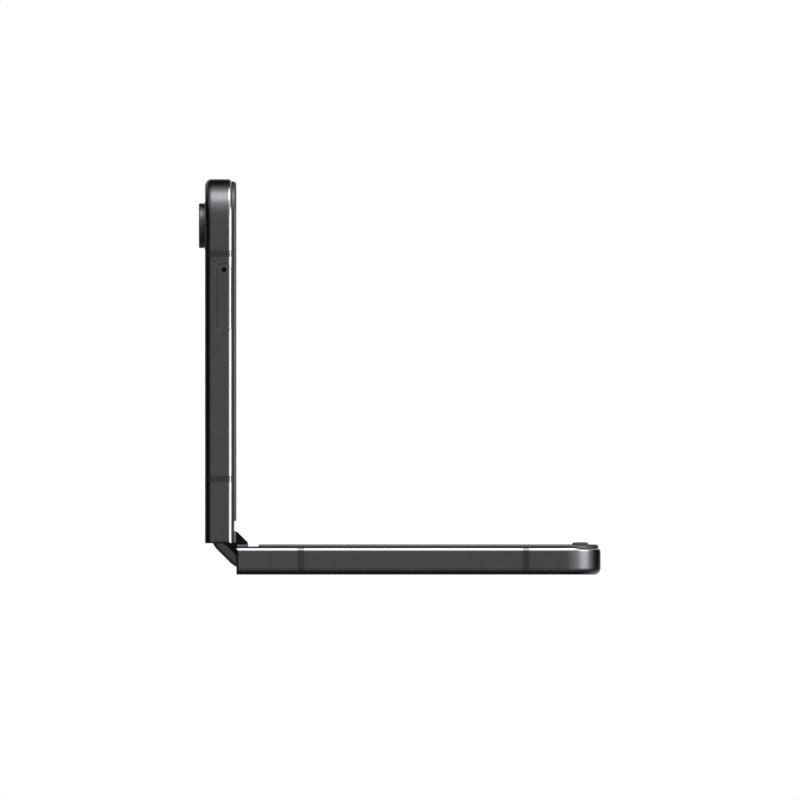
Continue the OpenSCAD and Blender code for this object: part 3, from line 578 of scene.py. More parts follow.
@dataclass(frozen=True)
class Layout:
    """The phone's main sizes and the way from its flat drawings to the row frame."""

    half_l: float = 82.5
    half_w: float = 35.95
    frame_t: float = 6.1
    end_gap: float = 0.25
    corner_r: float = 9.0
    pivot: float = 2.05
    pivot_w: float = 6.0
    ring_h: float = 1.4
    key_out: float = 0.35
    panel_top: float = 6.4
    screen_v: float = 32.4

    @property
    def far_u(self) -> float:
        """Distance from the hinge centre to a half's far end."""
        return self.half_l + self.end_gap

    @property
    def slope(self) -> float:
        """Sine and cosine of the eighth turn between a half and the spine."""
        return math.sqrt(0.5)

    @property
    def middle(self) -> tuple[float, float]:
        """X and Y of the row frame's origin in the lower half's flat drawing."""
        left = self.pivot - 2 * self.pivot * self.slope - self.pivot_w - self.ring_h
        return (self.far_u + left) / 2, self.key_out / 2

    def lower(self, u: Array, v: Array, w: Array) -> Array:
        """Points of the lower half: it lies flat, so u is X, v is Y and w is Z."""
        x, y = self.middle
        return np.stack(np.broadcast_arrays(u - x, v - y, w), axis=-1)

    def spine(self, x: Array, v: Array, z: Array) -> Array:
        """Points of the spine, turned an eighth of a turn about the lower pivot."""
        mid_x, mid_y = self.middle
        away = x - self.pivot
        return np.stack(np.broadcast_arrays(self.pivot - mid_x + (away + z) * self.slope, v - mid_y,
                                            self.pivot_w + (z - away) * self.slope), axis=-1)

    def upper(self, u: Array, v: Array, w: Array) -> Array:
        """Points of the upper half: it stands up, so w is X, v is Y and u is Z."""
        mid_x, mid_y = self.middle
        x = self.pivot - mid_x - 2 * self.pivot * self.slope + (w - self.pivot_w)
        z = self.pivot_w + 2 * self.pivot * self.slope + (u - self.pivot)
        return np.stack(np.broadcast_arrays(x, v - mid_y, z), axis=-1)


class Side(Enum):
    """One of the two halves, by its body's name."""

    LOWER = "lower_half"
    UPPER = "upper_half"


PHONE = Layout()


def set_down(side: Side, u: Array, v: Array, w: Array) -> Array:
    """Points of either half in the row frame, in millimetres."""
    return PHONE.lower(u, v, w) if side is Side.LOWER else PHONE.upper(u, v, w)


def column(*values: float) -> Array:
    """Values of a grid's rows, as an array of shape (rows, 1)."""
    return np.array(values)[:, None]


def row(*values: float) -> Array:
    """Values of a grid's columns, as an array of shape (1, columns)."""
    return np.array(values)[None, :]


def turn(start: float, end: float, count: int) -> Array:
    """Evenly spaced angles in radians, from and to angles in degrees."""
    return np.radians(np.linspace(start, end, count))


def revolve(profile: Profile, count: int = 96) -> tuple[Array, Array, Array]:
    """A profile of radius and height turned once round the w axis.

    Each point is radius times the cosine and sine of the turn, at the profile's height.

    Args:
        profile: Radius and height of each point.
        count: Points round the turn.

    Returns:
        Three arrays of shape (profile, count): the two offsets across the axis, and the height.
    """
    radius, height = np.array(profile).T
    angle = turn(0, 360, count + 1)[:-1]
    radius, height = column(*radius), column(*height)
    return radius * np.cos(angle), radius * np.sin(angle), height + 0 * angle


def rounded(centre: tuple[float, float], radius: float, start: float, end: float,
            count: int = 5) -> list[tuple[float, float]]:
    """Points of an arc about a centre, from one angle to another in degrees."""
    angle = turn(start, end, count)
    return list(zip(centre[0] + radius * np.cos(angle), centre[1] + radius * np.sin(angle)))


def dome(radius: float, base: float, rise: float, count: int,
         power: float = 1.0) -> list[tuple[float, float]]:
    """Profile of a dome, from its rim to its top.

    The radius follows the sine of an angle, and the height the cosine raised to the power.

    Args:
        radius: The dome's radius.
        base: Height of its rim.
        rise: How far its top lies beyond the rim.
        count: Points of the profile.
        power: Fullness. Below 1 the dome is flatter at its top.

    Returns:
        Radius and height of each point.
    """
    angle = np.linspace(math.pi / 2, 0, count)
    return [(radius * math.sin(a), base + rise * math.cos(a) ** power) for a in angle]


def soft_square(power: float, count: int) -> tuple[Array, Array]:
    """A square with soft corners, where |x| and |y| raised to the power add up to 1."""
    angle = row(*turn(0, 360, count + 1)[:-1])
    cos, sin = np.cos(angle), np.sin(angle)
    r = (np.abs(cos) ** power + np.abs(sin) ** power) ** (-1 / power)
    return r * cos, r * sin


def slot_ring(length: float, height: float, count: int = 24) -> tuple[Array, Array]:
    """Outline of a bar with round ends, as its offsets along and across, one way round."""
    right, left = turn(-90, 90, count), turn(90, 270, count)
    reach, r = (length - height) / 2, height / 2
    along = np.concatenate([reach + r * np.cos(right), r * np.cos(left) - reach])
    return along, np.concatenate([r * np.sin(right), r * np.sin(left)])


# Sub-assemblies


@dataclass
class BentSheet:
    """A sheet that crosses the hinge, bent about the spine, made as two halves."""

    name: str
    finish: str
    top_w: float
    thick: float
    radius: float
    end_u: float
    strips: tuple[tuple[float, float], ...]
    replaced: str
    slot: str
    steps: int = 40

    def _line(self, depth: float) -> Array:
        """One face of the sheet, from the middle of the spine to the flat half.

        An arc of the bend's radius about the spine's middle, then a line to the sheet's end.

        Args:
            depth: How far the face lies under the sheet's upper face.

        Returns:
            Points (x, z) in the spine's plane, of shape (points, 2).
        """
        k = PHONE.slope
        level = self.top_w - PHONE.pivot_w
        centre = (level - PHONE.pivot * k + self.radius) / k
        angle = turn(0, EIGHTH, self.steps)
        r = self.radius + depth
        arc = np.stack([r * np.sin(angle), centre - r * np.cos(angle)], axis=1)
        reach, low = self.end_u - PHONE.pivot, level - depth
        end = np.array([PHONE.pivot + (reach - low) * k, (reach + low) * k])
        share = np.linspace(0, 1, self.steps)[1:, None]
        return np.vstack([arc, arc[-1] + (end - arc[-1]) * share])

    def build(self, palette: Palette) -> None:
        """Makes the two halves of the sheet."""
        upper, under = self._line(0.0), self._line(self.thick)
        for side, sign in ((Side.LOWER, 1.0), (Side.UPPER, -1.0)):
            mesh = Surfaces()
            for v0, v1 in self.strips:
                ring = [(upper, v0), (upper, (v0 + v1) / 2), (upper, v1), (under, v1), (under, v0)]
                points = np.stack([PHONE.spine(sign * line[:, 0], np.full(len(line), v), line[:, 1])
                                   for line, v in ring], axis=1)
                mesh.bar(points)
            made = mesh.piece(f"{self.name}_{side.name.lower()}", palette.get(self.finish))
            ends = [PHONE.spine(np.array(sign * upper[at, 0]), np.array(0.0),
                                np.array(upper[at, 1])) * MM
                    for at in (self.steps - 1, 0)]
            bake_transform(made)
            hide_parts(self.replaced)


@dataclass
class SpineShell:
    """The hinge's outer shell: a curved wall, closed at both ends by plates with rounded edges."""

    outer_r: float = 4.6
    inner_r: float = 3.8
    top: float = 1.35
    lip: float = 2.35
    inner_v: float = 34.1
    outer_v: float = 34.7
    outer_round: float = 0.9
    round_depth: float = 0.56
    lip_round: float = 0.3
    overlap: float = 0.05
    steps: int = 25
    rows: int = 9

    def _outline(self, radius: float, level: float) -> Array:
        """The spine's rounded underside: two arcs about the pivots, both cut at one level.

        Args:
            radius: The arcs' radius.
            level: How far below the pivots the arcs start and stop.

        Returns:
            Points (x, z) in the spine's plane, of shape (points, 2).
        """
        start = math.degrees(math.asin(level / radius))
        left, right = turn(180 + start, 270, self.steps), turn(270, 360 - start, self.steps)
        x = np.concatenate([radius * np.cos(left) - PHONE.pivot,
                            radius * np.cos(right) + PHONE.pivot])
        return np.stack([x, radius * np.sin(np.concatenate([left, right]))], axis=1)

    def build(self, palette: Palette) -> None:
        """Carries the wall's section across the phone, and the end plates' to their edges."""
        mesh = Surfaces()
        wall = np.vstack([self._outline(self.outer_r, self.top),
                          self._outline(self.inner_r, self.top)[::-1]])
        v = np.linspace(-self.inner_v, self.inner_v, self.rows)[:, None]
        mesh.bar(PHONE.spine(wall[None, :, 0], v, wall[None, :, 1]))
        bend = turn(0, 90, self.rows)
        across = self.outer_v - self.round_depth * (1 - np.sin(bend))
        inset = self.outer_round * (1 - np.cos(bend))
        past = np.clip((across - self.outer_v) / self.lip_round + 1, 0, 1)
        drop = self.lip_round * (1 - np.sqrt(1 - past ** 2))
        across = np.concatenate([[self.inner_v - self.overlap], across])
        rows = np.stack([self._outline(self.outer_r - i, self.lip + d)
                         for i, d in zip(np.append(0.0, inset), np.append(0.0, drop))])
        for sign in (1, -1):
            mesh.bar(PHONE.spine(rows[..., 0], sign * across[:, None], rows[..., 1]))
        made = mesh.piece("spine_shell", palette.get("spine_metal"), 35)
        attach(made, "hinge_spine")
        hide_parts("spine_cover")


@dataclass
class ScreenRim:
    """The plastic rim round a half's screen, with its edges rounded and a step beside the hinge."""

    side: Side
    height: float
    replaced: str
    outer: float = 0.5
    outer_share: float = 0.72
    lip: float = 4.55
    seat: float = 3.5
    start_u: float = 3.9
    step_u: float = 5.25
    tab_u: float = 3.0
    step: float = 0.45
    strip_u: float = 0.45
    strip: float = 1.05
    strip_soft: float = 0.1
    lip_soft: float = 0.168
    lip_gap: float = 0.05
    lip_t: float = 0.2
    slant: float = 0.12
    tab_slant: float = 0.06
    past_start: float = 0.02
    stations: tuple[float, ...] = (20.0, 40.0)

    def _section(self, drop: float, inner: float) -> Array:
        """The rim's section: a rounded bar, with a lip over the screen's edge where it is wide.

        Args:
            drop: How far its top lies under the rim's full height.
            inner: Inset of its inner edge from the frame's side.

        Returns:
            Inset and height of each point, as many for every section.
        """
        base, top = PHONE.frame_t, PHONE.frame_t + self.height - drop
        far = self.outer_share * (top - base)
        plain = inner < self.seat
        soft = self.strip_soft if plain else self.lip_soft
        points = [(self.outer, base)] + rounded((self.outer + far, top - far), far, 180, 90, 9)
        points += rounded((inner - soft, top - soft), soft, 90, 0)
        if plain:  # Two spare points keep the count
            return np.array(points + [(inner, base + 0.15), (inner, base + 0.1), (inner, base)])
        under = min(PHONE.panel_top + self.lip_gap, top - self.lip_t)
        return np.array(points + [(inner, under), (self.seat, under), (self.seat, base)])

    def _path(self) -> tuple[Array, Array, Array]:
        """The rows of sections: along one side, round the far end and back.

        Returns:
            Arrays (rows, 2) of centres and of outward directions, and each row's drop.
        """
        far, across = PHONE.far_u - PHONE.corner_r, PHONE.half_w - PHONE.corner_r
        along = np.array([self.start_u, self.step_u, self.step_u + self.slant, *self.stations,
                          far - 0.01])
        drop = np.where(along <= self.step_u, self.step, 0.0)
        corner = turn(90, 0, 17)
        sides = np.stack([along, np.full(len(along), across)], axis=1)
        corners = np.tile([far, across], (len(corner), 1))
        centres = np.vstack([sides, corners, corners * [1, -1], (sides * [1, -1])[::-1]])
        turned = np.stack([np.cos(corner), np.sin(corner)], axis=1)
        out = np.tile([0.0, 1.0], (len(along), 1))
        directions = np.vstack([out, turned, (turned * [1, -1])[::-1], out * [1, -1]])
        return centres, directions, np.concatenate([drop, 0 * corner, 0 * corner, drop[::-1]])

    def build(self, palette: Palette) -> None:
        """Carries the section along the path, and adds the thin strips beside the hinge."""
        centres, directions, drops = self._path()
        sections = np.stack([self._section(drop, self.seat if drop else self.lip)
                             for drop in drops])
        reach = PHONE.corner_r - sections[..., 0]
        flat = centres[:, None, :] + directions[:, None, :] * reach[..., None]
        mesh = Surfaces()
        mesh.bar(set_down(self.side, flat[..., 0], flat[..., 1], sections[..., 1]))
        along = np.array([self.strip_u, self.tab_u - self.tab_slant, self.tab_u,
                          self.start_u + self.past_start])
        strip = np.stack([self._section(drop, self.strip)
                          for drop in (0.0, 0.0, self.step, self.step)])
        for sign in (1, -1):
            mesh.bar(set_down(self.side, along[:, None], sign * (PHONE.half_w - strip[..., 0]),
                              strip[..., 1]))
        made = mesh.piece(self.replaced.replace("bezel", "rim"), palette.get("rim_plastic"))
        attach(made, self.side.value)
        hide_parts(self.replaced)


@dataclass
class RimPads:
    """Two soft pads on the lower rim's far corners, domed and rounded at their ends."""

    middle_r: float = 6.475
    length: float = 4.8
    width: float = 1.3
    height: float = 0.5
    base_w: float = 6.85
    end_share: float = 0.93

    def build(self, palette: Palette) -> None:
        """A half superellipse of the fourth power along the corner's arc, drawn in at both ends."""
        along = np.linspace(-1, 1, 25)[:, None]
        round_half = turn(0, 180, 17)[None, :]
        swell = (1 - np.abs(along) ** 5 * self.end_share) ** 0.5
        bend = np.radians(EIGHTH) + along * self.length / self.middle_r / 2
        side = np.sign(np.cos(round_half)) * np.abs(np.cos(round_half)) ** 0.5
        across = side * self.width / 2 * swell
        up = np.abs(np.sin(round_half)) ** 0.5 * self.height * swell
        r = self.middle_r + across
        mesh = Surfaces()
        for sign in (1, -1):
            u = PHONE.far_u - PHONE.corner_r + r * np.cos(bend)
            v = sign * (PHONE.half_w - PHONE.corner_r + r * np.sin(bend))
            mesh.bar(PHONE.lower(u, v, self.base_w + up))
        made = mesh.piece("rim_pads", palette.get("pad_rubber"), 60)
        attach(made, Side.LOWER.value)
        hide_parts("bumper_pads")


@dataclass
class Cameras:
    """The two back cameras: proud rings, glass covers, stepped barrels and their front elements."""

    end: float = 10.56
    side: float = 10.9
    gap: float = 13.2
    ring_r: float = 5.075
    proud: float = 1.4
    cover_w: float = -0.7
    cover_t: float = 0.45
    body: float = 4.5
    body_foot: float = 1.4
    body_top: float = 4.95
    lens_r: float = 1.7
    stop_w: float = 0.9

    def _at(self, v: float, shape: tuple[Array, Array, Array]) -> Array:
        """A turned shape set on the upper half's back, about one camera's axis."""
        u, across, w = shape
        return PHONE.upper(PHONE.far_u - self.end + u, v + across, w)

    def _ring(self) -> Profile:
        """The ring's section, by insets from its radius and heights over the glass."""
        r, h, sleeve, wall = self.ring_r, self.proud, 1.45, 0.65
        lines = [(r + 0.004 * (k % 2), -h + 0.35 + 0.07 * k) for k in range(9)]
        return ([(r - sleeve, self.cover_w), (r - 1, self.cover_w), (r - 1, -h + 0.28)]
                + rounded((r - 0.88, -h + 0.12), 0.12, 180, 270)
                # A fine groove in the top, the outer edge, and turned lines down the side
                + [(r - 0.62, -h), (r - 0.6, -h + 0.03), (r - 0.52, -h + 0.03), (r - 0.5, -h)]
                + rounded((r - 0.22, -h + 0.22), 0.22, 270, 360, 7) + lines
                # The neck over the foot, the foot on the glass and the sleeve through it
                + [(r, -0.38), (r - 0.15, -0.32), (r - 0.15, -0.2)]
                + rounded((r + 0.12, -0.12), 0.08, 270, 360, 4)
                + [(r + 0.2, 0.0), (r - wall, 0.0), (r - wall, 1.1), (r - sleeve, 1.1)])

    def _barrel(self) -> Profile:
        """The barrel's section: its outer wall, and steps that go down to a small stop."""
        steps = [(3.3, -0.6), (3.2, -0.5), (2.85, -0.42), (2.85, -0.3), (2.45, -0.2), (2.45, -0.05),
                 (2.1, 0.05), (2.1, 0.2), (1.75, 0.3), (1.75, self.stop_w), (0.0, self.stop_w)]
        return [(0.0, 2.0), (3.475, 2.0), (3.475, -0.55), (3.42, -0.6)] + steps

    def _body(self, v: float) -> Array:
        """The module's square body with soft corners, drawn in at its foot and top."""
        along, across = soft_square(8, 48)
        size = column(self.body - 0.3, self.body, self.body, self.body - 0.3)
        level = column(self.body_foot, self.body_foot + 0.2, self.body_top - 0.2, self.body_top)
        return PHONE.upper(PHONE.far_u - self.end + size * along, v + size * across,
                           level + 0 * along)

    def build(self, palette: Palette) -> None:
        """Makes rings, covers, modules and elements for both cameras."""
        rings, covers, modules, elements = Surfaces(), Surfaces(), Surfaces(), Surfaces()
        top, edge, cut = self.cover_w - self.cover_t, self.ring_r - 1.03, 0.1
        cover = [(0.0, self.cover_w), (edge, self.cover_w), (edge, top + cut), (edge - cut, top),
                 (0.0, top)]
        under = self.stop_w - 0.05
        lens = [(0.0, under), (self.lens_r, under)] + dome(self.lens_r, 0.75, -0.8, 10, 0.9)
        first = PHONE.half_w - self.side
        for v in (first, first - self.gap):
            rings.grid(self._at(v, revolve(self._ring(), 128)), round_u=True, round_v=True)
            covers.turned(self._at(v, revolve(cover)))
            modules.turned(self._at(v, revolve(self._barrel())))
            modules.bar(self._body(v))
            elements.turned(self._at(v, revolve(lens)))
        for name, mesh, finish, replaced, slot in (
                ("camera_ring_pair", rings, "ring_metal", "camera_rings", "ring_metal"),
                ("camera_covers", covers, "lens_cover", "camera_lenses", "lens_glass"),
                ("camera_barrels", modules, "camera_barrel", "camera_modules", "module_black"),
                ("camera_elements", elements, "lens_glass", "", "lens_glass")):
            made = mesh.piece(name, palette.get(finish))
            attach(made, Side.UPPER.value)
            if replaced:
                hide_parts(replaced)


@dataclass
class Flash:
    """The flash: two lamps on a pale plate, under a clear cover with fine rings inside."""

    v: float = 2.35
    radius: float = 2.2
    cover_t: float = 0.3
    rings: int = 6
    lamp: float = 0.62
    lamp_u: float = 0.72
    stretch: float = 1.25

    def _disc(self, profile: Profile) -> Array:
        """A turned shape about the flash's axis, its heights measured inward from the back."""
        u, across, w = revolve(profile, 64)
        return PHONE.upper(PHONE.far_u - Cameras.end + u, self.v + across, w)

    def _lamp(self, u: float) -> Array:
        """A lamp with soft corners, longer across the phone and domed a little."""
        along, across = soft_square(4, 32)
        size = column(self.lamp, self.lamp, 0.5, 0.2)
        level = column(0.95, 0.7, 0.62, 0.58)
        return PHONE.upper(PHONE.far_u - Cameras.end + u + size * along,
                           self.v + size * across * self.stretch, level + 0 * along)

    def build(self, palette: Palette) -> None:
        """Makes plate, lamps and cover."""
        r = self.radius
        cover, plate, lamps = Surfaces(), Surfaces(), Surfaces()
        fine = [(0.4 + k * 0.26 + step, self.cover_t + 0.05 * (step > 0)) for k in range(self.rings)
                for step in (0.0, 0.25)]
        cover.turned(self._disc([(0.0, 0.02)] + rounded((r - 0.08, 0.1), 0.08, 270, 360, 4)
                                + [(r, self.cover_t)] + fine[::-1] + [(0.0, self.cover_t)]))
        plate.turned(self._disc([(0.0, 1.2), (r - 0.42, 1.2), (r - 0.42, 0.58), (r - 0.02, 0.58),
                                 (r - 0.02, 0.38), (r - 0.25, 0.38), (r - 0.5, 0.9), (0.0, 0.9)]))
        for u in (-self.lamp_u, self.lamp_u):
            lamps.bar(self._lamp(u))
        for name, mesh, finish in (("flash_cover", cover, "flash_cover"),
                                   ("flash_plate", plate, "flash_board"),
                                   ("flash_lamps", lamps, "flash_led")):
            made = mesh.piece(name, palette.get(finish), 20)
            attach(made, Side.UPPER.value)
            if name == "flash_cover":
                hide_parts("flash_lens")


@dataclass
class SideKey:
    """A key in the upper half's side: soft-edged bar, flange behind it and round studs."""

    name: str
    end: float
    length: float
    flange_v: float
    studs: tuple[float, ...]
    rib: bool = False
    level: float = 2.9
    height: float = 2.4
    soft: float = 0.22
    crown: float = 0.03
    stud_v: float = 34.01
    stud_r: float = 0.6
    rib_r: float = 0.4

    def _bar(self, length: float, height: float, rows: Profile) -> Array:
        """A bar with round ends, drawn in by each row's inset at that row's v."""
        rings = [slot_ring(length - 2 * inset, height - 2 * inset) for inset, _ in rows]
        u = np.stack([PHONE.far_u - self.end + ring[0] for ring in rings])
        w = np.stack([self.level + ring[1] for ring in rings])
        return PHONE.upper(u, column(*(v for _, v in rows)), w)

    def build(self, palette: Palette) -> None:
        """Makes the key on its own body."""
        mesh = Surfaces()
        out = PHONE.half_w + PHONE.key_out
        middle, flange = PHONE.far_u - self.end, self.flange_v
        edge = [(self.soft - x, out - self.crown - self.soft + y)
                for x, y in rounded((0.0, 0.0), self.soft, 0, 90, 7)]
        mesh.bar(self._bar(self.length, self.height,
                           [(0.0, flange + 0.1)] + edge + [(0.7, out - 0.008), (1.1, out)]))
        mesh.bar(self._bar(self.length + 1, self.height + 0.6,
                           [(0.08, flange), (0.0, flange + 0.08),
                            (0.0, flange + 0.32), (0.08, flange + 0.4)]))
        r, reach = self.stud_r, flange + 0.1 - self.stud_v
        for stud in self.studs:
            pin = [(0.0, 0.0), (r - 0.1, 0.0), (r, 0.08), (r, reach), (0.0, reach)]
            across, up, depth = revolve(pin, 32)
            mesh.turned(PHONE.upper(middle + stud + across, self.stud_v + depth, self.level + up))
        if self.rib:
            half, r = self.height / 2, self.rib_r
            along, across, height = revolve([(0.0, -half), (r, -half), (r, half), (0.0, half)], 32)
            mesh.turned(PHONE.upper(middle + along, flange + 0.2 + across, self.level + height))
        made = mesh.piece(f"{self.name}_cap", palette.get("key_metal"))
        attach(made, self.name)
        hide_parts(self.name)


@dataclass
class PinHole:
    """A near-black cup behind the card tray's pin hole: painted shade that keeps the hole dark."""

    u: float = 62.25
    level: float = 4.3
    radius: float = 0.545
    depth: float = 0.95

    def build(self, palette: Palette) -> None:
        """A turned cup, open to the outside."""
        r, back = self.radius, self.depth
        cup = [(0.0, 0.8), (r - 0.14, 0.75), (r - 0.03, 0.14), (r, 0.12), (r, back), (0.0, back)]
        u, w, depth = revolve(cup, 32)
        mesh = Surfaces()
        mesh.turned(PHONE.upper(self.u + u, depth - PHONE.half_w, self.level + w))
        # Painted shade: the near-black cup stands in for the shade inside the hole
        made = mesh.piece("pin_hole_painted_shade", palette.get("cap_plastic"))
        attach(made, "card_tray")


@dataclass
class Coil:
    """The charging coil: flat wire wound in one layer."""

    inner_r: float = 8.0
    outer_r: float = 18.0
    turns: int = 11
    base_w: float = 0.6
    thick: float = 0.5
    wire_share: float = 0.44
    cell_u: float = 13.45
    board_end: float = 22.75
    steps: int = 48
    flat_share: float = 0.7

    def build(self, palette: Palette) -> None:
        """A flat section carried along a spiral whose radius grows evenly with the turn."""
        middle = (self.cell_u + PHONE.far_u - self.board_end) / 2
        pitch = (self.outer_r - self.inner_r) / (self.turns + 1)
        angle = np.linspace(0, 2 * np.pi * self.turns, self.steps * self.turns + 1)[:, None]
        half = pitch * self.wire_share
        flat = half * self.flat_share
        across = row(-half, -flat, flat, half, flat, -flat)
        level = row(0.5, 1.0, 1.0, 0.5, 0.0, 0.0) * self.thick
        r = self.inner_r + pitch / 2 + pitch * angle / (2 * np.pi) + across
        mesh = Surfaces()
        mesh.bar(PHONE.lower(middle + r * np.cos(angle), r * np.sin(angle),
                             self.base_w + level + 0 * angle))
        made = mesh.piece("coil_winding", palette.get("coil_copper"))
        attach(made, Side.LOWER.value)
        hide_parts("charging_coil")


@dataclass
class FarEnd:
    """Fine pieces in the lower half's far end: port contacts and meshes in the sound holes."""

    level: float = 3.05
    tongue_v: float = 6.7
    tongue_t: float = 0.7
    tip: float = 1.65
    contacts: int = 12
    margin: float = 0.6
    strip_u: tuple[float, ...] = (3.6, 3.5, 0.5, 0.3)
    strip_v: tuple[float, ...] = (-0.13, -0.1, 0.1, 0.13)
    strip_w: tuple[float, ...] = (-0.02, 0.03, 0.03, -0.02)
    holes: int = 6
    first_v: float = 11.9833
    pitch: float = 2.2
    hole_r: float = 0.55
    talk_r: float = 0.4
    mesh_end: float = 0.75
    mesh_t: float = 0.15

    def build(self, palette: Palette) -> None:
        """Makes the contact strips, and a woven disc in each hole."""
        u = PHONE.far_u - self.tip - column(*self.strip_u)
        strips = Surfaces()
        for k in range(self.contacts):
            v = (k - (self.contacts - 1) / 2) * self.tongue_v / (self.contacts + self.margin)
            for sign in (1, -1):
                face = self.level + sign * self.tongue_t / 2
                up = face + sign * row(*self.strip_w) + 0 * u
                strips.bar(PHONE.lower(u, v + row(*self.strip_v), up))
        made = strips.piece("port_contacts", palette.get("contact_gold"))
        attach(made, Side.LOWER.value)
        discs = Surfaces()
        places = [self.first_v + k * self.pitch for k in range(self.holes)] + [-self.first_v]
        radii = [self.hole_r] * self.holes + [self.talk_r]
        for v, r in zip(places, radii):
            edge = r - 0.02
            disc = [(0.0, -self.mesh_t), (edge, -self.mesh_t), (edge, 0.0), (0.0, 0.04)]
            across, up, depth = revolve(disc, 32)
            discs.turned(PHONE.lower(PHONE.far_u - self.mesh_end + depth, v + across,
                                     self.level + up))
        made = discs.piece("sound_meshes", palette.get("grille_mesh"))
        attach(made, Side.LOWER.value)


@dataclass
class FrontLens:
    """The front camera's small domed lens, just under the screen's face."""

    end: float = 7.2
    top_w: float = 6.3
    radius: float = 1.05
    thick: float = 0.2

    def build(self, palette: Palette) -> None:
        """A turned disc with a domed face."""
        mesh = Surfaces()
        face = dome(self.radius, 0.02, 0.06, 8)
        u, v, w = revolve([(0.0, -self.thick), (self.radius, -self.thick)] + face, 64)
        mesh.turned(PHONE.upper(PHONE.far_u - self.end + u, v, self.top_w + w))
        made = mesh.piece("front_lens", palette.get("lens_glass"))
        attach(made, Side.UPPER.value)


# The studio


@dataclass(frozen=True)
class Glow:
    """A soft area of the room that only gloss shows, or a dark flag where its level is below 0."""

    centre: Vector
    level: float
    full: float
    none: float
    thin: Vector | None = None
    band: tuple[float, float] = (0.34, 0.14)

    def light(self, graph: Graph, toward: Callable[[Graph, Vector], Wire]) -> Wire:
        """What the area adds: its level within one angle, falling to nothing at another.

        Args:
            graph: The world's graph.
            toward: Gives the cosine of the angle between a ray and a direction.

        Returns:
            The added light, cut to a narrow band across the thin axis where it has one.
        """
        spot = toward(graph, self.centre).ramp(self.none, self.full) * self.level
        if self.thin is None:
            return spot
        return spot * toward(graph, self.thin).size().ramp(*self.band)


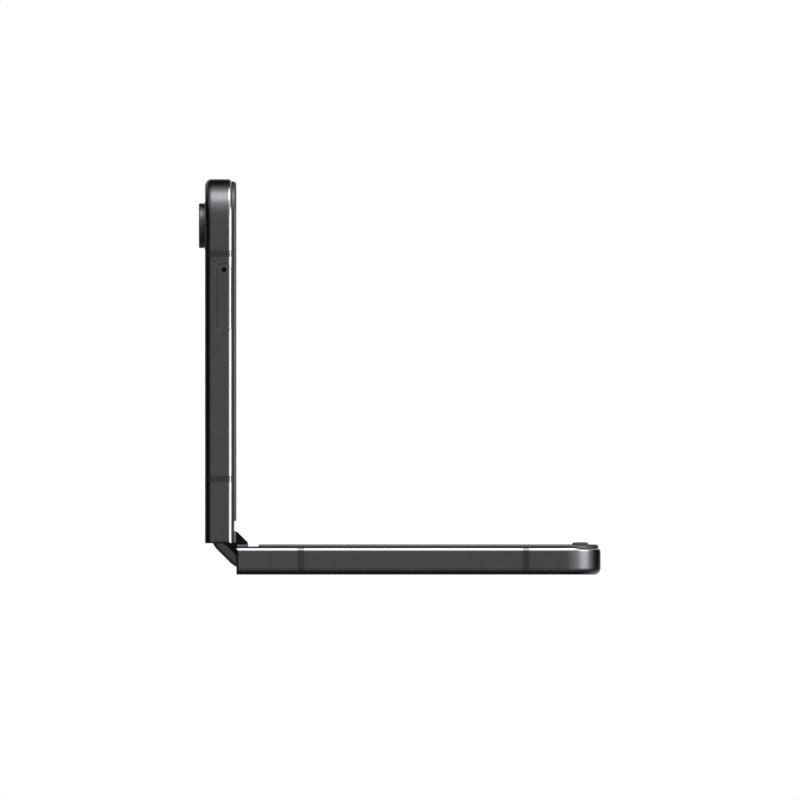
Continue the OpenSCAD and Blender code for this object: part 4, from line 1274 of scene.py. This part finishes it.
@dataclass
class Studio:
    """Camera, floor, world and lamps."""

    scale: float = 0.18122
    centre_x: float = 0.00006
    centre_z: float = 0.03956
    back: float = 0.8
    aim: Vector = (0.0, 0.0, 0.03)
    front: Vector = (0.45, -0.80, 0.40)
    wrap: float = 0.35
    reach: float = 1.15
    fall: float = 1.5
    base: float = 0.02
    least: float = 0.01
    plain: float = 0.6
    floor_side: float = 1500.0
    floor_z: float = -0.3
    floor_glow: float = 0.45
    glows: tuple[Glow, ...] = (
        Glow((0.93, -0.36, 0.05), 2.0, 1.0, 0.62, (0.0, 0.0, 1.0)),
        Glow((0.0, -0.36, 0.93), 1.6, 1.0, 0.62),
        Glow((0.0, 1.0, 0.0), 0.8, 0.98, 0.86),
        Glow((-0.68, 0.30, -0.67), 0.6, 0.97, 0.62),
        Glow((0.0, 0.0, 1.0), 0.12, 1.0, 0.3),
        Glow((-0.60, 0.70, -0.42), 0.7, 0.98, 0.89),
        Glow((0.60, 0.70, -0.42), 0.7, 0.98, 0.89),
        Glow((-0.55, 0.65, 0.52), 0.5, 0.98, 0.88),
        Glow((0.55, 0.65, 0.52), 0.5, 0.98, 0.88),
        Glow((0.0, 0.54, 0.84), -0.6, 0.97, 0.76),
        Glow((0.85, 0.50, 0.0), -0.6, 0.98, 0.82),
        Glow((-0.88, -0.47, 0.0), -0.4, 0.97, 0.78),
    )

    def camera(self) -> None:
        """A level camera without perspective that looks along +Y."""
        data = bpy.data.cameras.new("view")
        data.type = "ORTHO"
        data.ortho_scale = self.scale
        seen = bpy.data.objects.new("view", data)
        seen.location = (self.centre_x, -self.back, self.centre_z)
        seen.rotation_euler = (math.pi / 2, 0, 0)
        bpy.context.scene.collection.objects.link(seen)
        bpy.context.scene.camera = seen

    def lamp(self, name: str, place: Vector, size: tuple[float, float], power: float) -> None:
        """A soft rectangular lamp that faces the phone.

        Args:
            name: The lamp's name.
            place: Its middle, in metres.
            size: Its width and height, in metres.
            power: Its power in watts.
        """
        data = bpy.data.lights.new(name, "AREA")
        data.shape = "RECTANGLE"
        data.size, data.size_y = size
        data.energy = power
        made = bpy.data.objects.new(name, data)
        aim = np.array(self.aim) - np.array(place)
        made.location = place
        made.rotation_euler = (math.acos(-aim[2] / np.linalg.norm(aim)), 0.0,
                               math.atan2(aim[1], aim[0]) - math.pi / 2)
        bpy.context.scene.collection.objects.link(made)

    def _toward(self, graph: Graph, centre: Vector) -> Wire:
        """Cosine of the angle between a ray and a direction of any length."""
        way = graph.node("ShaderNodeTexCoord", {}, {}, "Generated")
        aim = tuple(np.array(centre) / np.linalg.norm(centre))
        return graph.node("ShaderNodeVectorMath", {"operation": "DOT_PRODUCT"}, {0: way, 1: aim},
                          "Value")

    def world(self) -> None:
        """White behind the phone, plain light on it, and in its gloss a room with soft areas."""
        world = bpy.data.worlds.new("studio")
        bpy.context.scene.world = world
        graph = Graph(world, "ShaderNodeBackground", "ShaderNodeOutputWorld")
        ray = {name: graph.node("ShaderNodeLightPath", {}, {}, name)
               for name in ("Is Camera Ray", "Is Glossy Ray", "Is Transmission Ray")}
        front = (self._toward(graph, self.front) + self.wrap) / self.reach
        clamped = graph.node("ShaderNodeClamp", {}, {0: front, 1: 0.0, 2: 1.0})
        gloss = clamped ** self.fall + self.base
        for glow in self.glows:
            gloss = gloss + glow.light(graph, self._toward)
        gloss = gloss.at_least(self.least)
        lit = ray["Is Glossy Ray"] * (gloss - self.plain) + self.plain
        seen = ray["Is Camera Ray"] + ray["Is Transmission Ray"]
        graph.feed(graph.shader.inputs["Color"], (1.0, 1.0, 1.0, 1.0))
        graph.feed(graph.shader.inputs["Strength"], lit + seen * (1 - lit))

    def floor(self) -> None:
        """A white floor that takes the phone's shadow and stays out of its gloss."""
        mesh = Surfaces()
        side = np.array([-self.floor_side, self.floor_side])
        level = np.full((2, 2), self.floor_z)
        mesh.grid(np.stack(np.broadcast_arrays(side[:, None], side[None, :], level), axis=-1))
        white = Finish("floor_white", (244, 244, 244), 0.9, 0.0, 0.0, depth=0.0).build()
        graph = Graph.of(white)
        seen = graph.node("ShaderNodeLightPath", {}, {}, "Is Camera Ray")
        graph.feed(graph.shader.inputs["Emission Color"], seen)
        graph.shader.inputs["Emission Strength"].default_value = self.floor_glow
        made = mesh.piece("floor", white)
        made.visible_glossy = False

    def build(self) -> None:
        """Sets everything up."""
        bpy.context.scene.view_settings.view_transform = "Standard"
        self.camera()
        self.world()
        self.lamp("lamp_above", place=(0.1, -0.16, 0.6), size=(0.5, 0.3), power=3.2)
        self.lamp("lamp_right", place=(0.62, -0.22, 0.12), size=(0.3, 0.4), power=2.5)
        self.floor()


def dress(palette: Palette) -> None:
    """Gives every CAD node its finish."""
    finish_of = {node: finish for finish, nodes in CAD_NODES.items() for node in nodes.split()}
    for name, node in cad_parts.items():
        finish = palette.get(finish_of[name])
        for slot in node.material_slots:
            slot.material = finish
        if not node.material_slots:
            node.data.materials.append(finish)


def main() -> None:
    """Builds the studio, the finishes and every piece."""
    logging.basicConfig(level=logging.INFO, format="%(message)s")
    palette = Palette()
    Studio().build()
    dress(palette)
    side, cable = PHONE.screen_v, (8.2, 17.8)
    builders = (
        BentSheet("screen_fold", "screen", top_w=PHONE.panel_top, thick=0.5, radius=3.6, end_u=6.0,
                  strips=((-side, side),), replaced="display_fold", slot="screen"),
        BentSheet("cable_fold", "ribbon", top_w=5.0, thick=0.15, radius=3.9, end_u=10.95,
                  strips=(cable, (-cable[1], -cable[0])), replaced="ribbon_cables", slot="ribbon",
                  steps=24),
        ScreenRim(Side.LOWER, height=0.75, replaced="lower_bezel"),
        ScreenRim(Side.UPPER, height=1.0, replaced="upper_bezel"),
        RimPads(),
        SpineShell(),
        PinHole(),
        Cameras(),
        Flash(),
        SideKey("power_key", end=47.0, length=13.0, flange_v=34.3, studs=(0.0,)),
        SideKey("volume_key", end=28.0, length=18.0, flange_v=34.1, studs=(-6.0, 6.0), rib=True),
        Coil(),
        FarEnd(),
        FrontLens(),
    )
    for builder in builders:
        builder.build(palette)


if __name__ == "__main__":
    main()
